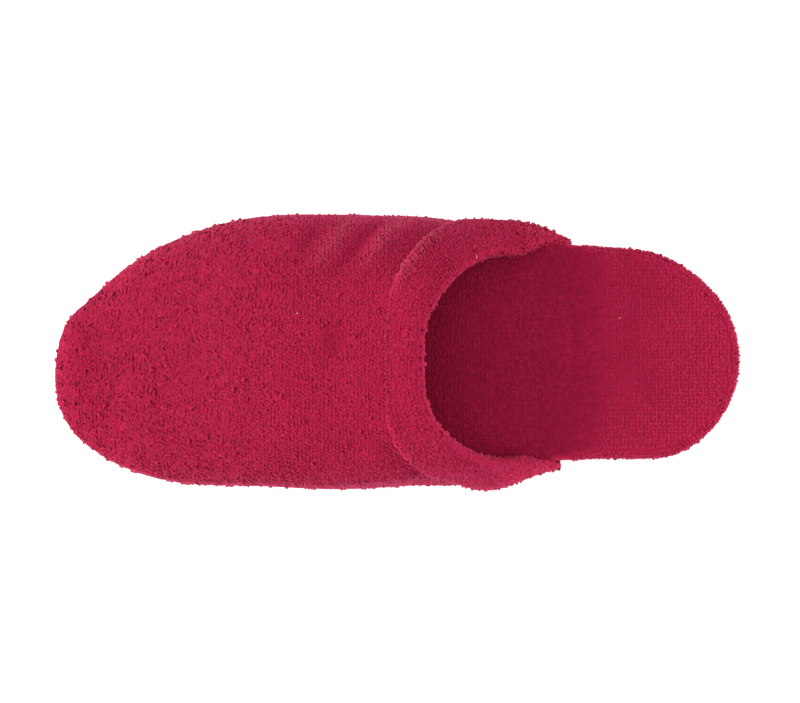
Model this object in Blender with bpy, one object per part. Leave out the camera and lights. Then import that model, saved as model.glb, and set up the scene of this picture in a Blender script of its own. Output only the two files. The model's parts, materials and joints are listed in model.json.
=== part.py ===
"""Right-foot terry mule slipper: an open-back vamp on a padded sole.

Metres, +Z up, toe towards +Y, lateral (little toe) side towards +X. The origin lies on the floor
under the middle of the slipper's box.
"""

import math
from collections import namedtuple

import bmesh
import bpy
import numpy as np

# Driving dimensions
LENGTH = 0.2800          # toe of the upper to back of the heel
BALL_WIDTH = 0.1022      # padded sole across the ball of the foot
WAIST_WIDTH = 0.0862     # padded sole at its narrowest, in front of the heel
HEEL_WIDTH = 0.0864      # padded sole across the heel
TOE_SWING = -0.0104      # tip of the toe, towards the medial side
HEEL_SWING = -0.0029     # back of the heel, towards the medial side

OUTSOLE_THICK = 0.0032
MIDSOLE_THICK = 0.0100   # at the heel
INSOLE_THICK = 0.0055    # at the heel
TOE_SPRING = 0.0055      # rise of the sole's tip above the floor
ARCH_LIFT = 0.0014       # rise of the underside at the waist
HEEL_ROLL = 0.0012       # rise of the underside at the very back
FOOTBED_DISH = 0.0018    # depth of the hollow along the middle of the footbed
OUTSOLE_EDGE = 0.0008    # how far the outsole's rim stays inside what stands on it
OUTSOLE_ROUND = 0.0012   # rounding of the outsole's rim
MIDSOLE_ROUND = 0.0012   # rounding of the midsole's rim
INSOLE_ROUND = 0.0100    # how far in the footbed's padded edge is rounded

UPPER_WALL = 0.0038      # foam-backed terry with its lining
INSTEP_RISE = 0.0420     # top of the vamp at the throat over its widest line
SIDE_SWELL = 0.0100      # how far the collar flares beyond the sole at the most
CREST_SHIFT = -0.0060    # top of the instep, towards the medial side

HEM_WIDTH = 0.0300       # outer leaf of the folded band along the collar, where it is widest
HEM_TURN_IN = 0.0085     # inner leaf of the same band
HEM_LAYER = 0.0019       # one thickness of the folded band
HEM_RECESS = 0.0016      # how deep the upper is drawn in under the band
HEM_CROWN = 0.0006       # how far the band stands proud of the vamp
DIP_DEPTH = 0.0018       # hollow of the vamp's sides along the front of the band
DIP_LENGTH = 0.0140      # how far that hollow reaches ahead of the band
HEM_GROOVE = 0.0008      # slope of the upper down to the band's front edge

GAP = 0.0003             # clearance between pieces that touch
OUTSOLE_STEP = 0.03      # share of the outline over which the outsole draws in at a collar end
HEM_SHARE = 0.86         # most of a vamp line's length that the band covers
HEM_STUB = 0.0009        # thinnest the band's folded edge gets at the ends of the collar
HEM_TUCK = 0.0007        # how far that edge stays outside the upper's lining there
HEM_ENDS = (0.86, 1.0)   # shares of the collar's half over which the band's crown runs out
DIP_RISES = (0.30, 0.70)  # shares of it over which the hollow before the band sets in
HEM_WRAP_CLEAR = (0.0034, 0.0060)  # heights over the footbed between which the band turns in
HEM_LEAF_CLEAR = 0.0080  # height over the footbed that the inner leaf keeps

LATERAL, MEDIAL = 1, -1

# Mesh density
OUTLINE_STEPS = 26       # stations along each side of the sole
VAMP_STEPS = 25          # lines on each side of the vamp, toe to collar end
LINE_CROWDING = 1.35     # over 1, the vamp's lines draw together towards the collar's ends
BAND_ROWS = 3            # rows from the feather edge up to the widest line
DOME_ROWS = 12           # rows from the widest line up to the hem
HEM_ROWS = 5             # rows of the upper under the hem
RIM_STEPS = 6            # facets of the hem's rolled rim
HEM_CROWN_ROWS = (0.93, 0.75, 0.55, 0.35, 0.15)  # rows of the band's outside, shares of its width

# Outline of the padded sole. along: share of the sole's length from the toe. lateral and medial:
# shares of the named width, measured from the middle line.
SoleRow = namedtuple("SoleRow", "along width lateral medial")
SOLE_OUTLINE = [
    SoleRow(0.0175, BALL_WIDTH, 0.103, 0.270),
    SoleRow(0.0450, BALL_WIDTH, 0.173, 0.345),
    SoleRow(0.0900, BALL_WIDTH, 0.282, 0.417),
    SoleRow(0.1800, BALL_WIDTH, 0.419, 0.479),
    SoleRow(0.2900, BALL_WIDTH, 0.494, 0.489),
    SoleRow(0.3900, BALL_WIDTH, 0.501, 0.499),
    SoleRow(0.5000, BALL_WIDTH, 0.482, 0.474),
    SoleRow(0.6000, WAIST_WIDTH, 0.529, 0.509),
    SoleRow(0.6800, WAIST_WIDTH, 0.505, 0.495),
    SoleRow(0.7600, HEEL_WIDTH, 0.493, 0.503),
    SoleRow(0.8400, HEEL_WIDTH, 0.493, 0.507),
    SoleRow(0.9000, HEEL_WIDTH, 0.440, 0.492),
    SoleRow(0.9450, HEEL_WIDTH, 0.343, 0.411),
    SoleRow(0.9800, HEEL_WIDTH, 0.211, 0.279),
]

# Stretches of the sole, as shares of its length from the toe
SPRING_END = 0.22        # the toe spring runs out here
ARCH_FROM, ARCH_TO = 0.46, 0.74
ROLL_FROM = 0.95
TOE_PADDING = 0.60       # midsole and insole thickness at the toe, as a share of the heel's
PADDING_EASE = 1.5       # over 1, the padding thins faster the nearer the toe

# The vamp. along: share of LENGTH from the toe. crest: height of the arch's top line over the
# widest line, as a share of INSTEP_RISE. widest: height of the widest line over the feather edge,
# as a share of the footbed's. lateral and medial: flare beyond the sole's edge, share of SIDE_SWELL.
# Behind the throat the crest is the arch that the collar's sides follow.
VampRow = namedtuple("VampRow", "along crest widest lateral medial")
VAMP_SECTIONS = [
    VampRow(0.000, 0.000, 0.62, 0.05, 0.05),
    VampRow(0.020, 0.215, 0.66, 0.05, 0.05),
    VampRow(0.060, 0.370, 0.76, 0.06, 0.06),
    VampRow(0.120, 0.465, 0.90, 0.06, 0.06),
    VampRow(0.220, 0.570, 1.00, 0.06, 0.08),
    VampRow(0.340, 0.705, 1.03, 0.06, 0.10),
    VampRow(0.440, 0.840, 1.01, 0.10, 0.16),
    VampRow(0.530, 0.985, 0.96, 0.24, 0.38),
    VampRow(0.590, 0.900, 0.90, 0.38, 0.76),
    VampRow(0.630, 0.720, 0.86, 0.48, 0.90),
    VampRow(0.670, 0.530, 0.80, 0.52, 0.66),
    VampRow(0.710, 0.390, 0.64, 0.38, 0.24),
    VampRow(0.748, 0.220, 0.27, 0.00, 0.00),
]

# Edge of the collar. share: 0 at the middle of the throat, 1 where it ends on the sole's side. Each
# side has its place along LENGTH from the toe, and its place out from the crest line as a share of
# the vamp's half width there.
CollarRow = namedtuple("CollarRow", "share lateral_along lateral medial_along medial")
COLLAR_EDGE = [
    CollarRow(0.00, 0.528, 0.000, 0.528, 0.000),
    CollarRow(0.20, 0.533, 0.262, 0.533, 0.344),
    CollarRow(0.35, 0.553, 0.445, 0.550, 0.545),
    CollarRow(0.50, 0.583, 0.620, 0.578, 0.700),
    CollarRow(0.62, 0.611, 0.725, 0.606, 0.778),
    CollarRow(0.73, 0.643, 0.790, 0.638, 0.825),
    CollarRow(0.83, 0.677, 0.815, 0.670, 0.858),
    CollarRow(0.91, 0.708, 0.885, 0.699, 0.915),
    CollarRow(1.00, 0.748, 1.000, 0.732, 1.000),
]
THROAT = COLLAR_EDGE[0].lateral_along
COLLAR_END = {LATERAL: COLLAR_EDGE[-1].lateral_along, MEDIAL: COLLAR_EDGE[-1].medial_along}
ARCH_ROUNDNESS = 2.3     # exponent of the vamp's cross-section: 2 is an ellipse, more is squarer

# Front line of the band. share: as in COLLAR_EDGE. width: the band's, as a share of HEM_WIDTH.
HemRow = namedtuple("HemRow", "share width")
HEM_FRONT = [
    HemRow(0.00, 0.43),
    HemRow(0.10, 0.43),
    HemRow(0.21, 0.47),
    HemRow(0.31, 0.54),
    HemRow(0.42, 0.61),
    HemRow(0.54, 0.67),
    HemRow(0.67, 0.75),
    HemRow(0.78, 0.86),
    HemRow(0.89, 0.96),
    HemRow(1.00, 1.00),
]
HEM_BLEND = 8            # the higher, the harder the band's width gives way to a short line's

# Edge of a padded layer, from its underside to its top. inset: in from the outline, as a share of
# the layer's rounding. level: share of the layer's thickness.
EdgeRow = namedtuple("EdgeRow", "inset level")
OUTSOLE_SIDE = [EdgeRow(1.0, 0.0), EdgeRow(0.0, 0.35), EdgeRow(0.0, 0.85), EdgeRow(0.5, 1.0)]
MIDSOLE_SIDE = [EdgeRow(1.0, 0.0), EdgeRow(0.17, 0.25), EdgeRow(0.0, 0.6), EdgeRow(0.67, 1.0)]
INSOLE_SIDE = [EdgeRow(0.08, 0.0), EdgeRow(0.0, 0.25), EdgeRow(0.06, 0.55),
               EdgeRow(0.22, 0.82), EdgeRow(0.50, 0.96), EdgeRow(1.0, 1.0)]
# Rings between a layer's edge and its middle line, as shares of the way in
INNER_RINGS = (0.22, 0.46, 0.72)
SPINE_INSET = 0.26       # how far the middle line stops short of the tips, share of half the length


def spline(knots, values):
    """Natural cubic spline through a short table."""
    x, y = np.array(knots, dtype=float), np.array(values, dtype=float)
    step = np.diff(x)
    system, right = np.eye(len(x)), np.zeros(len(x))
    for i in range(1, len(x) - 1):
        system[i, i - 1:i + 2] = step[i - 1], 2 * (step[i - 1] + step[i]), step[i]
        right[i] = 6 * ((y[i + 1] - y[i]) / step[i] - (y[i] - y[i - 1]) / step[i - 1])
    bend = np.linalg.solve(system, right)

    def value(at):
        i = int(np.clip(np.searchsorted(x, at) - 1, 0, len(step) - 1))
        a, b, h = x[i + 1] - at, at - x[i], step[i]
        return ((bend[i] * a ** 3 + bend[i + 1] * b ** 3) / (6 * h)
                + (y[i] / h - bend[i] * h / 6) * a + (y[i + 1] / h - bend[i + 1] * h / 6) * b)

    return value


def turn(along):
    """Angle share that stands for a share of a length: even steps of it crowd at both tips."""
    return math.acos(1 - 2 * min(max(along, 0.0), 1.0)) / math.pi


def column(rows, name, scale=1.0):
    """Spline of one column of a table over the turns of its shares of length."""
    return spline([turn(row.along) for row in rows], [scale * getattr(row, name) for row in rows])


TOE_PROUD = GAP + UPPER_WALL + VAMP_SECTIONS[0].lateral * SIDE_SWELL
SOLE_LENGTH = LENGTH - TOE_PROUD
TOE_Y = LENGTH / 2
SOLE_TOE_Y = TOE_Y - TOE_PROUD

SOLE_SIDE = {
    side: spline(
        [0.0] + [turn(row.along) for row in SOLE_OUTLINE] + [1.0],
        [TOE_SWING] + [side * row.width * getattr(row, name) for row in SOLE_OUTLINE] + [HEEL_SWING],
    )
    for side, name in ((LATERAL, "lateral"), (MEDIAL, "medial"))
}
CREST = column(VAMP_SECTIONS, "crest", INSTEP_RISE)
WIDEST = column(VAMP_SECTIONS, "widest")
SWELL = {LATERAL: column(VAMP_SECTIONS, "lateral", SIDE_SWELL),
         MEDIAL: column(VAMP_SECTIONS, "medial", SIDE_SWELL)}
COLLAR_SHARES = [row.share for row in COLLAR_EDGE]
COLLAR_ALONG = {LATERAL: spline(COLLAR_SHARES, [row.lateral_along for row in COLLAR_EDGE]),
                MEDIAL: spline(COLLAR_SHARES, [row.medial_along for row in COLLAR_EDGE])}
COLLAR_ACROSS = {LATERAL: spline(COLLAR_SHARES, [row.lateral for row in COLLAR_EDGE]),
                 MEDIAL: spline(COLLAR_SHARES, [row.medial for row in COLLAR_EDGE])}
HEM_WIDTH_AT = spline([row.share for row in HEM_FRONT], [HEM_WIDTH * row.width for row in HEM_FRONT])


def sole_edge(share, side, spread=0.0):
    """Point of the sole's outline at a turn from toe (0) to heel (1), moved out by spread."""
    def at(turned):
        return np.array([SOLE_SIDE[side](turned),
                         SOLE_TOE_Y - SOLE_LENGTH * (1 - math.cos(math.pi * turned)) / 2])

    nudge = 1e-4
    run = at(min(share + nudge, 1.0)) - at(max(share - nudge, 0.0))
    if share in (0.0, 1.0):
        run[1] = 0.0
    outward = side * np.array([-run[1], run[0]]) / np.hypot(*run)
    return at(share) + spread * outward


def sole_along(y):
    """Share of the sole's length from its toe."""
    return min(max((SOLE_TOE_Y - y) / SOLE_LENGTH, 0.0), 1.0)


def lift(y):
    """Height of the outsole's underside: toe spring, arch and the roll of the heel."""
    along = sole_along(y)
    spring = TOE_SPRING * max(0.0, 1 - along / SPRING_END) ** 2
    arch_share = min(max((along - ARCH_FROM) / (ARCH_TO - ARCH_FROM), 0.0), 1.0)
    roll = HEEL_ROLL * max(0.0, (along - ROLL_FROM) / (1 - ROLL_FROM)) ** 2
    return spring + ARCH_LIFT * math.sin(math.pi * arch_share) ** 2 + roll


def padding(y):
    """Share of the heel's padding thickness that the sole has here."""
    return 1 - (1 - TOE_PADDING) * max(0.0, 1 - sole_along(y) / ARCH_TO) ** PADDING_EASE


def midsole_floor(y):
    return lift(y) + OUTSOLE_THICK + GAP


def insole_floor(y):
    return midsole_floor(y) + MIDSOLE_THICK * padding(y) + GAP


def footbed(y):
    return insole_floor(y) + INSOLE_THICK * padding(y)


def swelled_edge(share, side):
    """Widest line of the upper's outside, seen from above."""
    return sole_edge(share, side, GAP + UPPER_WALL + SWELL[side](share))


def sampled_edge(side, samples=600):
    """Turn and sideways place of the widest line, to look one up from the other."""
    points = [swelled_edge(i / samples * turn(COLLAR_END[side]), side) for i in range(samples + 1)]
    return [turn((TOE_Y - y) / LENGTH) for _, y in points], [x for x, _ in points]


VAMP_EDGE = {side: sampled_edge(side) for side in (LATERAL, MEDIAL)}


def crest_line(turned):
    """Sideways place of the vamp's top line."""
    sides = [np.interp(turned, *VAMP_EDGE[side]) for side in (LATERAL, MEDIAL)]
    return sum(sides) / 2 + CREST_SHIFT * min(turned / turn(THROAT), 1.0)


def half_width(turned, side):
    """Distance from the top line to the widest line on one side, with its sign."""
    return np.interp(turned, *VAMP_EDGE[side]) - crest_line(turned)


def widest_height(y):
    """Height of the upper's widest line."""
    return midsole_floor(y) + WIDEST(turn((TOE_Y - y) / LENGTH)) * (footbed(y) - midsole_floor(y))


def arch_height(x, y):
    """Height of the upper's outside over the widest line, at a place seen from above."""
    turned = turn((TOE_Y - y) / LENGTH)
    offset = x - crest_line(turned)
    half = half_width(turned, LATERAL if offset > 0 else MEDIAL)
    across = min(abs(offset / half), 1.0) if abs(half) > GAP else 1.0
    arch = (1 - across ** ARCH_ROUNDNESS) ** (1 / ARCH_ROUNDNESS)
    return widest_height(y) + CREST(turned) * arch


def collar_place(line):
    """Where a line of the vamp ends on the collar, seen from above."""
    side, share = (LATERAL if line < 0 else MEDIAL), abs(line)
    if share == 1:
        return swelled_edge(turn(COLLAR_END[side]), side)
    along = COLLAR_ALONG[side](share)
    turned = turn(along)
    x = crest_line(turned) + COLLAR_ACROSS[side](share) * half_width(turned, side)
    return np.array([x, TOE_Y - along * LENGTH])


def vamp_point(line, row):
    """Point of the upper's outside.

    line runs from -1 at the lateral end of the collar over the toe at 0 to 1 at the medial end.
    row runs from 0 at the feather edge over the widest line at 1 to 2 at the collar. The two end
    lines stop at the widest line.
    """
    if abs(line) == 1:
        row = row / 2
    side = LATERAL if line < 0 else MEDIAL
    share = abs(line) * turn(COLLAR_END[side])
    swell = SWELL[side](share)
    widest = sole_edge(share, side, GAP + UPPER_WALL + swell)
    if row <= 1:
        x, y = sole_edge(share, side, GAP + UPPER_WALL + swell * math.sin(math.pi / 2 * row))
        return np.array([x, y, midsole_floor(y) + row * (widest_height(widest[1]) - midsole_floor(y))])
    inward = 1 - math.cos(math.pi / 2 * (row - 1))
    x, y = widest + inward * (collar_place(line) - widest)
    return np.array([x, y, arch_height(x, y)])


def outward(line, row):
    """Unit normal of the upper's outside."""
    if abs(line) == 1:
        side = LATERAL if line < 0 else MEDIAL
        share = turn(COLLAR_END[side])
        across = sole_edge(share, side, 1.0) - sole_edge(share, side)
        return np.array([*across, 0.0])
    nudge = 0.004
    along = vamp_point(min(line + nudge, 1.0), row) - vamp_point(max(line - nudge, -1.0), row)
    up = vamp_point(line, min(row + nudge, 2.0)) - vamp_point(line, max(row - nudge, 0.0))
    normal = np.cross(along, up)
    return normal / np.linalg.norm(normal)


def collar_run(line):
    """Unit direction of the collar's edge, from the lateral end to the medial one."""
    nudge = 0.004
    run = vamp_point(min(line + nudge, 1.0), 2.0) - vamp_point(max(line - nudge, -1.0), 2.0)
    return run / np.linalg.norm(run)


def row_finder(line, samples=120):
    """For one line: its length, the row at a distance from the collar, and the reverse."""
    rows = np.linspace(0, 2, samples + 1)
    points = np.array([vamp_point(line, row) for row in rows])
    lengths = np.concatenate([[0], np.cumsum(np.linalg.norm(np.diff(points, axis=0), axis=1))])
    total = lengths[-1]

    def row_at(distance):
        return float(np.interp(total - distance, lengths, rows))

    def distance_of(row):
        return float(total - np.interp(row, rows, lengths))

    return total, row_at, distance_of


def skin(name, rings, around, material):
    """One closed body from rings of equal length.

    around says that the last ring meets the first. Otherwise every ring is a closed loop, and the
    first and the last are capped.
    """
    body = bmesh.new()
    if around:
        rings = rings + [rings[0]]
    else:
        rings = [ring + [ring[0]] for ring in rings]
    bmesh.ops.create_grid(body, x_segments=len(rings[0]) - 1, y_segments=len(rings) - 1, size=1)
    for vertex, place in zip(body.verts, [place for ring in rings for place in ring]):
        vertex.co = place
    bmesh.ops.remove_doubles(body, verts=body.verts, dist=1e-6)
    if not around:
        bmesh.ops.holes_fill(body, edges=body.edges, sides=0)
    bmesh.ops.recalc_face_normals(body, faces=body.faces)
    # Neighbours that follow one another bend along the same diagonals
    bmesh.ops.triangulate(body, faces=body.faces, quad_method="SHORT_EDGE")
    mesh = bpy.data.meshes.new(name)
    body.to_mesh(mesh)
    body.free()
    mesh.shade_smooth()
    mesh.set_sharp_from_angle(angle=math.radians(40))
    mesh.materials.append(material)
    piece = bpy.data.objects.new(name, mesh)
    bpy.context.scene.collection.objects.link(piece)
    return piece


def finish(name, colour, roughness):
    """Principled material of one sub-part."""
    material = bpy.data.materials.new(name)
    material.use_nodes = True
    shader = material.node_tree.nodes["Principled BSDF"]
    shader.inputs["Base Color"].default_value = (*colour, 1)
    shader.inputs["Roughness"].default_value = roughness
    shader.inputs["Metallic"].default_value = 0.0
    material.diffuse_color = (*colour, 1)
    return material


def outline_stations():
    """Turn and side of each station, once round the sole from the toe."""
    down = [(i / OUTLINE_STEPS, LATERAL) for i in range(OUTLINE_STEPS + 1)]
    back = [(i / OUTLINE_STEPS, MEDIAL) for i in range(OUTLINE_STEPS - 1, 0, -1)]
    return down + back


def layer(name, floor, thickness, side_rows, rounding, spread, dish, material):
    """One layer of the sole: its edge profile carried round the outline, closed on a middle line."""
    def place(xy, level, hollow=0.0):
        y = xy[1]
        return (xy[0], y, floor(y) + level * thickness(y) - hollow)

    rings = []
    for share, side in outline_stations():
        edge = [(sole_edge(share, side, spread(share, side) - row.inset * rounding), row.level)
                for row in side_rows]
        tip = sole_edge(share, side)
        spine_y = (1 - SPINE_INSET) * (tip[1] - SOLE_TOE_Y + SOLE_LENGTH / 2) + SOLE_TOE_Y - SOLE_LENGTH / 2
        turned = turn(sole_along(spine_y))
        spine = np.array([(SOLE_SIDE[LATERAL](turned) + SOLE_SIDE[MEDIAL](turned)) / 2, spine_y])
        under, top = edge[0][0], edge[-1][0]
        ring = [place(spine, 0.0)]
        ring += [place(under + share_in * (spine - under), 0.0) for share_in in reversed(INNER_RINGS)]
        ring += [place(xy, level) for xy, level in edge]
        ring += [place(top + share_in * (spine - top), 1.0, dish * math.sin(math.pi / 2 * share_in))
                 for share_in in INNER_RINGS]
        ring.append(place(spine, 1.0, dish))
        rings.append(ring)
    return skin(name, rings, True, material)


def outsole_spread(share, side):
    """The outsole reaches out under the upper's wall, and no further than the padding behind it."""
    beneath = min(max((turn(COLLAR_END[side]) - share) / OUTSOLE_STEP, 0.0), 1.0)
    return (GAP + UPPER_WALL) * beneath - OUTSOLE_EDGE


def build_outsole():
    return layer("outsole", lift, lambda y: OUTSOLE_THICK, OUTSOLE_SIDE, OUTSOLE_ROUND,
                 outsole_spread, 0.0, finish("non_slip_rubber", (0.20, 0.035, 0.06), 0.75))


def build_midsole():
    return layer("midsole", midsole_floor, lambda y: MIDSOLE_THICK * padding(y), MIDSOLE_SIDE,
                 MIDSOLE_ROUND, lambda share, side: 0.0, 0.0,
                 finish("platform_terry", (0.42, 0.018, 0.055), 0.95))


def build_insole():
    return layer("insole", insole_floor, lambda y: INSOLE_THICK * padding(y), INSOLE_SIDE,
                 INSOLE_ROUND, lambda share, side: 0.0, FOOTBED_DISH,
                 finish("footbed_terry", (0.45, 0.02, 0.06), 0.95))


def vamp_lines():
    """Lines of the vamp from the lateral end of the collar to the medial one."""
    half = [1 - (1 - i / VAMP_STEPS) ** LINE_CROWDING for i in range(1, VAMP_STEPS + 1)]
    return [-line for line in reversed(half)] + [0.0] + half


def ramp(value, low, high):
    """0 up to low, 1 from high on, smooth between."""
    share = min(max((value - low) / (high - low), 0.0), 1.0)
    return share * share * (3 - 2 * share)


def hem_width(line, length):
    """The band widens down the sides and gives way to the short lines at the collar's ends."""
    wide, most = HEM_WIDTH_AT(abs(line)), HEM_SHARE * length
    return (wide ** -HEM_BLEND + most ** -HEM_BLEND) ** (-1 / HEM_BLEND)


def dip(line, ahead):
    """Hollow of the vamp along the front of the band, at a distance ahead of that front."""
    side = ramp(abs(line), *DIP_RISES) * (1 - ramp(abs(line), *HEM_ENDS))
    reach = DIP_LENGTH if ahead > 0 else DIP_LENGTH / 2
    return DIP_DEPTH * side * (1 - ramp(abs(ahead), 0.0, reach))


def build_upper():
    """Hollow vamp: outside and lining one wall apart, drawn in under the hem."""
    rings = []
    for line in vamp_lines():
        length, row_at, distance_of = row_finder(line)
        width = hem_width(line, length)
        front = row_at(width + HEM_GROOVE)
        rows = [i / BAND_ROWS for i in range(BAND_ROWS)]
        rows += [1 + i / DOME_ROWS for i in range(DOME_ROWS + 1)]
        outside = [(front * row / 2, 0.0) for row in rows]
        outside += [(row_at(width * (1 - i / HEM_ROWS)), HEM_RECESS) for i in range(HEM_ROWS + 1)]
        ring, lining = [], []
        for row, recess in outside:
            point, normal = vamp_point(line, row), outward(line, row)
            hollow = dip(line, distance_of(row) - width)
            ring.append(point - (recess + hollow) * normal)
            lining.append(point - (UPPER_WALL + hollow) * normal)
        rings.append(ring + lining[::-1])
    return skin("upper", rings, False, finish("vamp_terry", (0.47, 0.02, 0.06), 0.95))


def build_collar_hem():
    """Terry band folded over the collar's edge: outer leaf, rolled rim and inner leaf."""
    rings = []
    for line in vamp_lines():
        length, row_at, _ = row_finder(line)
        width = hem_width(line, length)
        edge, normal = vamp_point(line, 2.0), outward(line, 2.0)
        beyond = np.cross(normal, collar_run(line))
        clear = edge[2] - footbed(edge[1])
        wrap = ramp(clear, *HEM_WRAP_CLEAR)
        reach = min(max(clear - HEM_LEAF_CLEAR, -2 * GAP - HEM_STUB), HEM_TURN_IN)
        ending = ramp(abs(line), *HEM_ENDS)
        crown = HEM_CROWN * (1 - ending)
        slack = GAP * (1 + ending)

        def place(distance, depth, follows=False):
            """A point at a distance from the collar and a depth below the vamp's outside."""
            if distance <= 0:
                return edge - distance * beyond - depth * normal
            row = row_at(distance)
            if follows:
                depth += dip(line, distance - width)
            return vamp_point(line, row) - depth * outward(line, row)

        seat = HEM_RECESS - slack
        lining = UPPER_WALL + GAP * wrap - (HEM_TUCK + HEM_STUB) * (1 - wrap)
        inner = UPPER_WALL + (GAP + HEM_LAYER) * wrap - HEM_TUCK * (1 - wrap)
        middle, bulge = (inner - crown) / 2, (inner + crown) / 2
        ring = [place(width - slack, seat, True), place(width - slack, seat / 2)]
        ring += [place(share * width, -crown) for share in HEM_CROWN_ROWS]
        for i in range(RIM_STEPS + 1):
            angle = math.pi * i / RIM_STEPS
            beside = (slack + HEM_LAYER) * math.sin(angle)
            if 2 * i > RIM_STEPS:
                beside = max(beside, -reach)
            ring.append(place(-beside, middle - bulge * math.cos(angle)))
        halfway = min(reach, reach / 2)
        ring += [place(halfway, inner), place(reach, inner), place(reach, lining)]
        ring += [place(halfway, lining), place(-slack, lining), place(-slack, seat)]
        ring += [place(width * i / HEM_ROWS, seat, True) for i in range(HEM_ROWS)]
        rings.append(ring)
    return skin("collar_hem", rings, False, finish("hem_terry", (0.50, 0.025, 0.065), 0.95))


def main():
    for piece in list(bpy.data.objects):
        bpy.data.objects.remove(piece, do_unlink=True)
    slipper = bpy.data.objects.new("slipper_right", None)
    bpy.context.scene.collection.objects.link(slipper)
    for build in (build_outsole, build_midsole, build_insole, build_upper, build_collar_hem):
        build().parent = slipper


main()
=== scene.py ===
"""Looks of the terry mule slipper: cloth, pile, floor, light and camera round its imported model.

Metres, +Z up, toe towards +Y, lateral (little toe) side towards +X, as in the frame.
"""

import json
import logging
import math
from dataclasses import dataclass, field
from enum import Enum, IntEnum
from typing import Callable, NamedTuple

import bmesh
import bpy
import numpy as np
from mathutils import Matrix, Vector
from mathutils.bvhtree import BVHTree

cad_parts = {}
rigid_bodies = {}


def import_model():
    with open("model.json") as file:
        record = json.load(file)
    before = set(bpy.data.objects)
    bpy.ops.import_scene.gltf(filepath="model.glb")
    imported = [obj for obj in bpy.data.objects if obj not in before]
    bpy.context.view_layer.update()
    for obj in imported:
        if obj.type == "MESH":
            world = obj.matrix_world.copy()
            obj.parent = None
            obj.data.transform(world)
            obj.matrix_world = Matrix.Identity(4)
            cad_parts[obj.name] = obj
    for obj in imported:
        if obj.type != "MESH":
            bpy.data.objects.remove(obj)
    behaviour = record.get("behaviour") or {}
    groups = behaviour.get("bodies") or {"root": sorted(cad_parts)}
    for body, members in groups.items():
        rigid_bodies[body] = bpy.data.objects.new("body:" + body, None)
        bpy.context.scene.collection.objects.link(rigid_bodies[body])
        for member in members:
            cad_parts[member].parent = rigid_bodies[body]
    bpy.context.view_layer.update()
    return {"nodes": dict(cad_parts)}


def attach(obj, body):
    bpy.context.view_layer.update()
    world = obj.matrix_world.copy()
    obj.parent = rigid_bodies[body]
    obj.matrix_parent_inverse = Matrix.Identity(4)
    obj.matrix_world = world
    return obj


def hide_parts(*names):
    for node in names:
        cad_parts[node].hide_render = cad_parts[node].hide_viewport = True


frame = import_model()

log = logging.getLogger("slipper")
Array = np.ndarray
Piece = bpy.types.Object
Colour = tuple[float, float, float]
MM = 0.001
NAP = 0.0005  # depth of the ground cloth under the tips of its pile
WELD = 2e-6  # points nearer to each other than this are one
TINY = 1e-12  # keeps a division from failing
SHY = 1.001  # how far short of a grid's size its furthest place may be
ROOT = "root"
ACROSS = (1.0, 0.0, 0.0)
TERRY_SLOTS = ("vamp_terry", "hem_terry", "footbed_terry", "platform_terry")
# Dark and light tone of each finish; the ground cloth's plum is a little darker than the pile's berry, as
# painted shade in the gaps between the loops
PLUM = ((0.35, 0.005, 0.040), (0.52, 0.010, 0.063))
BERRY = ((0.39, 0.005, 0.040), (0.605, 0.0155, 0.067))
FLUFF = ((0.75, 0.45, 0.5), (0.85, 0.6, 0.65))
RUBBER = ((0.10, 0.01, 0.02), (0.2, 0.02, 0.05))


class Side(Enum):
    """The two sides of the foot, as the sign of X."""

    LATERAL = 1
    MEDIAL = -1


class Width(IntEnum):
    """The named widths of the padded sole."""

    BALL = 0
    WAIST = 1
    HEEL = 2


def table(names: str, *rows: tuple[float, ...]) -> dict[str, Array]:
    """Columns of a table, by name."""
    return dict(zip(names.split(), np.array(rows, float).T))


# Outline of the padded sole, at shares of its length and in shares of a named width
SOLE = table(
    "along width lateral medial",
    (0.0175, Width.BALL, 0.103, 0.270),
    (0.0450, Width.BALL, 0.173, 0.345),
    (0.0900, Width.BALL, 0.282, 0.417),
    (0.1800, Width.BALL, 0.419, 0.479),
    (0.2900, Width.BALL, 0.494, 0.489),
    (0.3900, Width.BALL, 0.501, 0.499),
    (0.5000, Width.BALL, 0.482, 0.474),
    (0.6000, Width.WAIST, 0.529, 0.509),
    (0.6800, Width.WAIST, 0.505, 0.495),
    (0.7600, Width.HEEL, 0.493, 0.503),
    (0.8400, Width.HEEL, 0.493, 0.507),
    (0.9000, Width.HEEL, 0.440, 0.492),
    (0.9450, Width.HEEL, 0.343, 0.411),
    (0.9800, Width.HEEL, 0.211, 0.279),
)
# Sections of the vamp: rise of the crest, height of the widest line and flare of each side
VAMP = table(
    "along crest widest lateral medial",
    (0.000, 0.000, 0.62, 0.05, 0.05),
    (0.020, 0.215, 0.66, 0.05, 0.05),
    (0.060, 0.370, 0.76, 0.06, 0.06),
    (0.120, 0.465, 0.90, 0.06, 0.06),
    (0.220, 0.570, 1.00, 0.06, 0.08),
    (0.340, 0.705, 1.03, 0.06, 0.10),
    (0.440, 0.840, 1.01, 0.10, 0.16),
    (0.530, 0.985, 0.96, 0.24, 0.38),
    (0.590, 0.900, 0.90, 0.38, 0.76),
    (0.630, 0.720, 0.86, 0.48, 0.90),
    (0.670, 0.530, 0.80, 0.52, 0.66),
    (0.710, 0.390, 0.64, 0.38, 0.24),
    (0.748, 0.220, 0.27, 0.00, 0.00),
)
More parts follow.
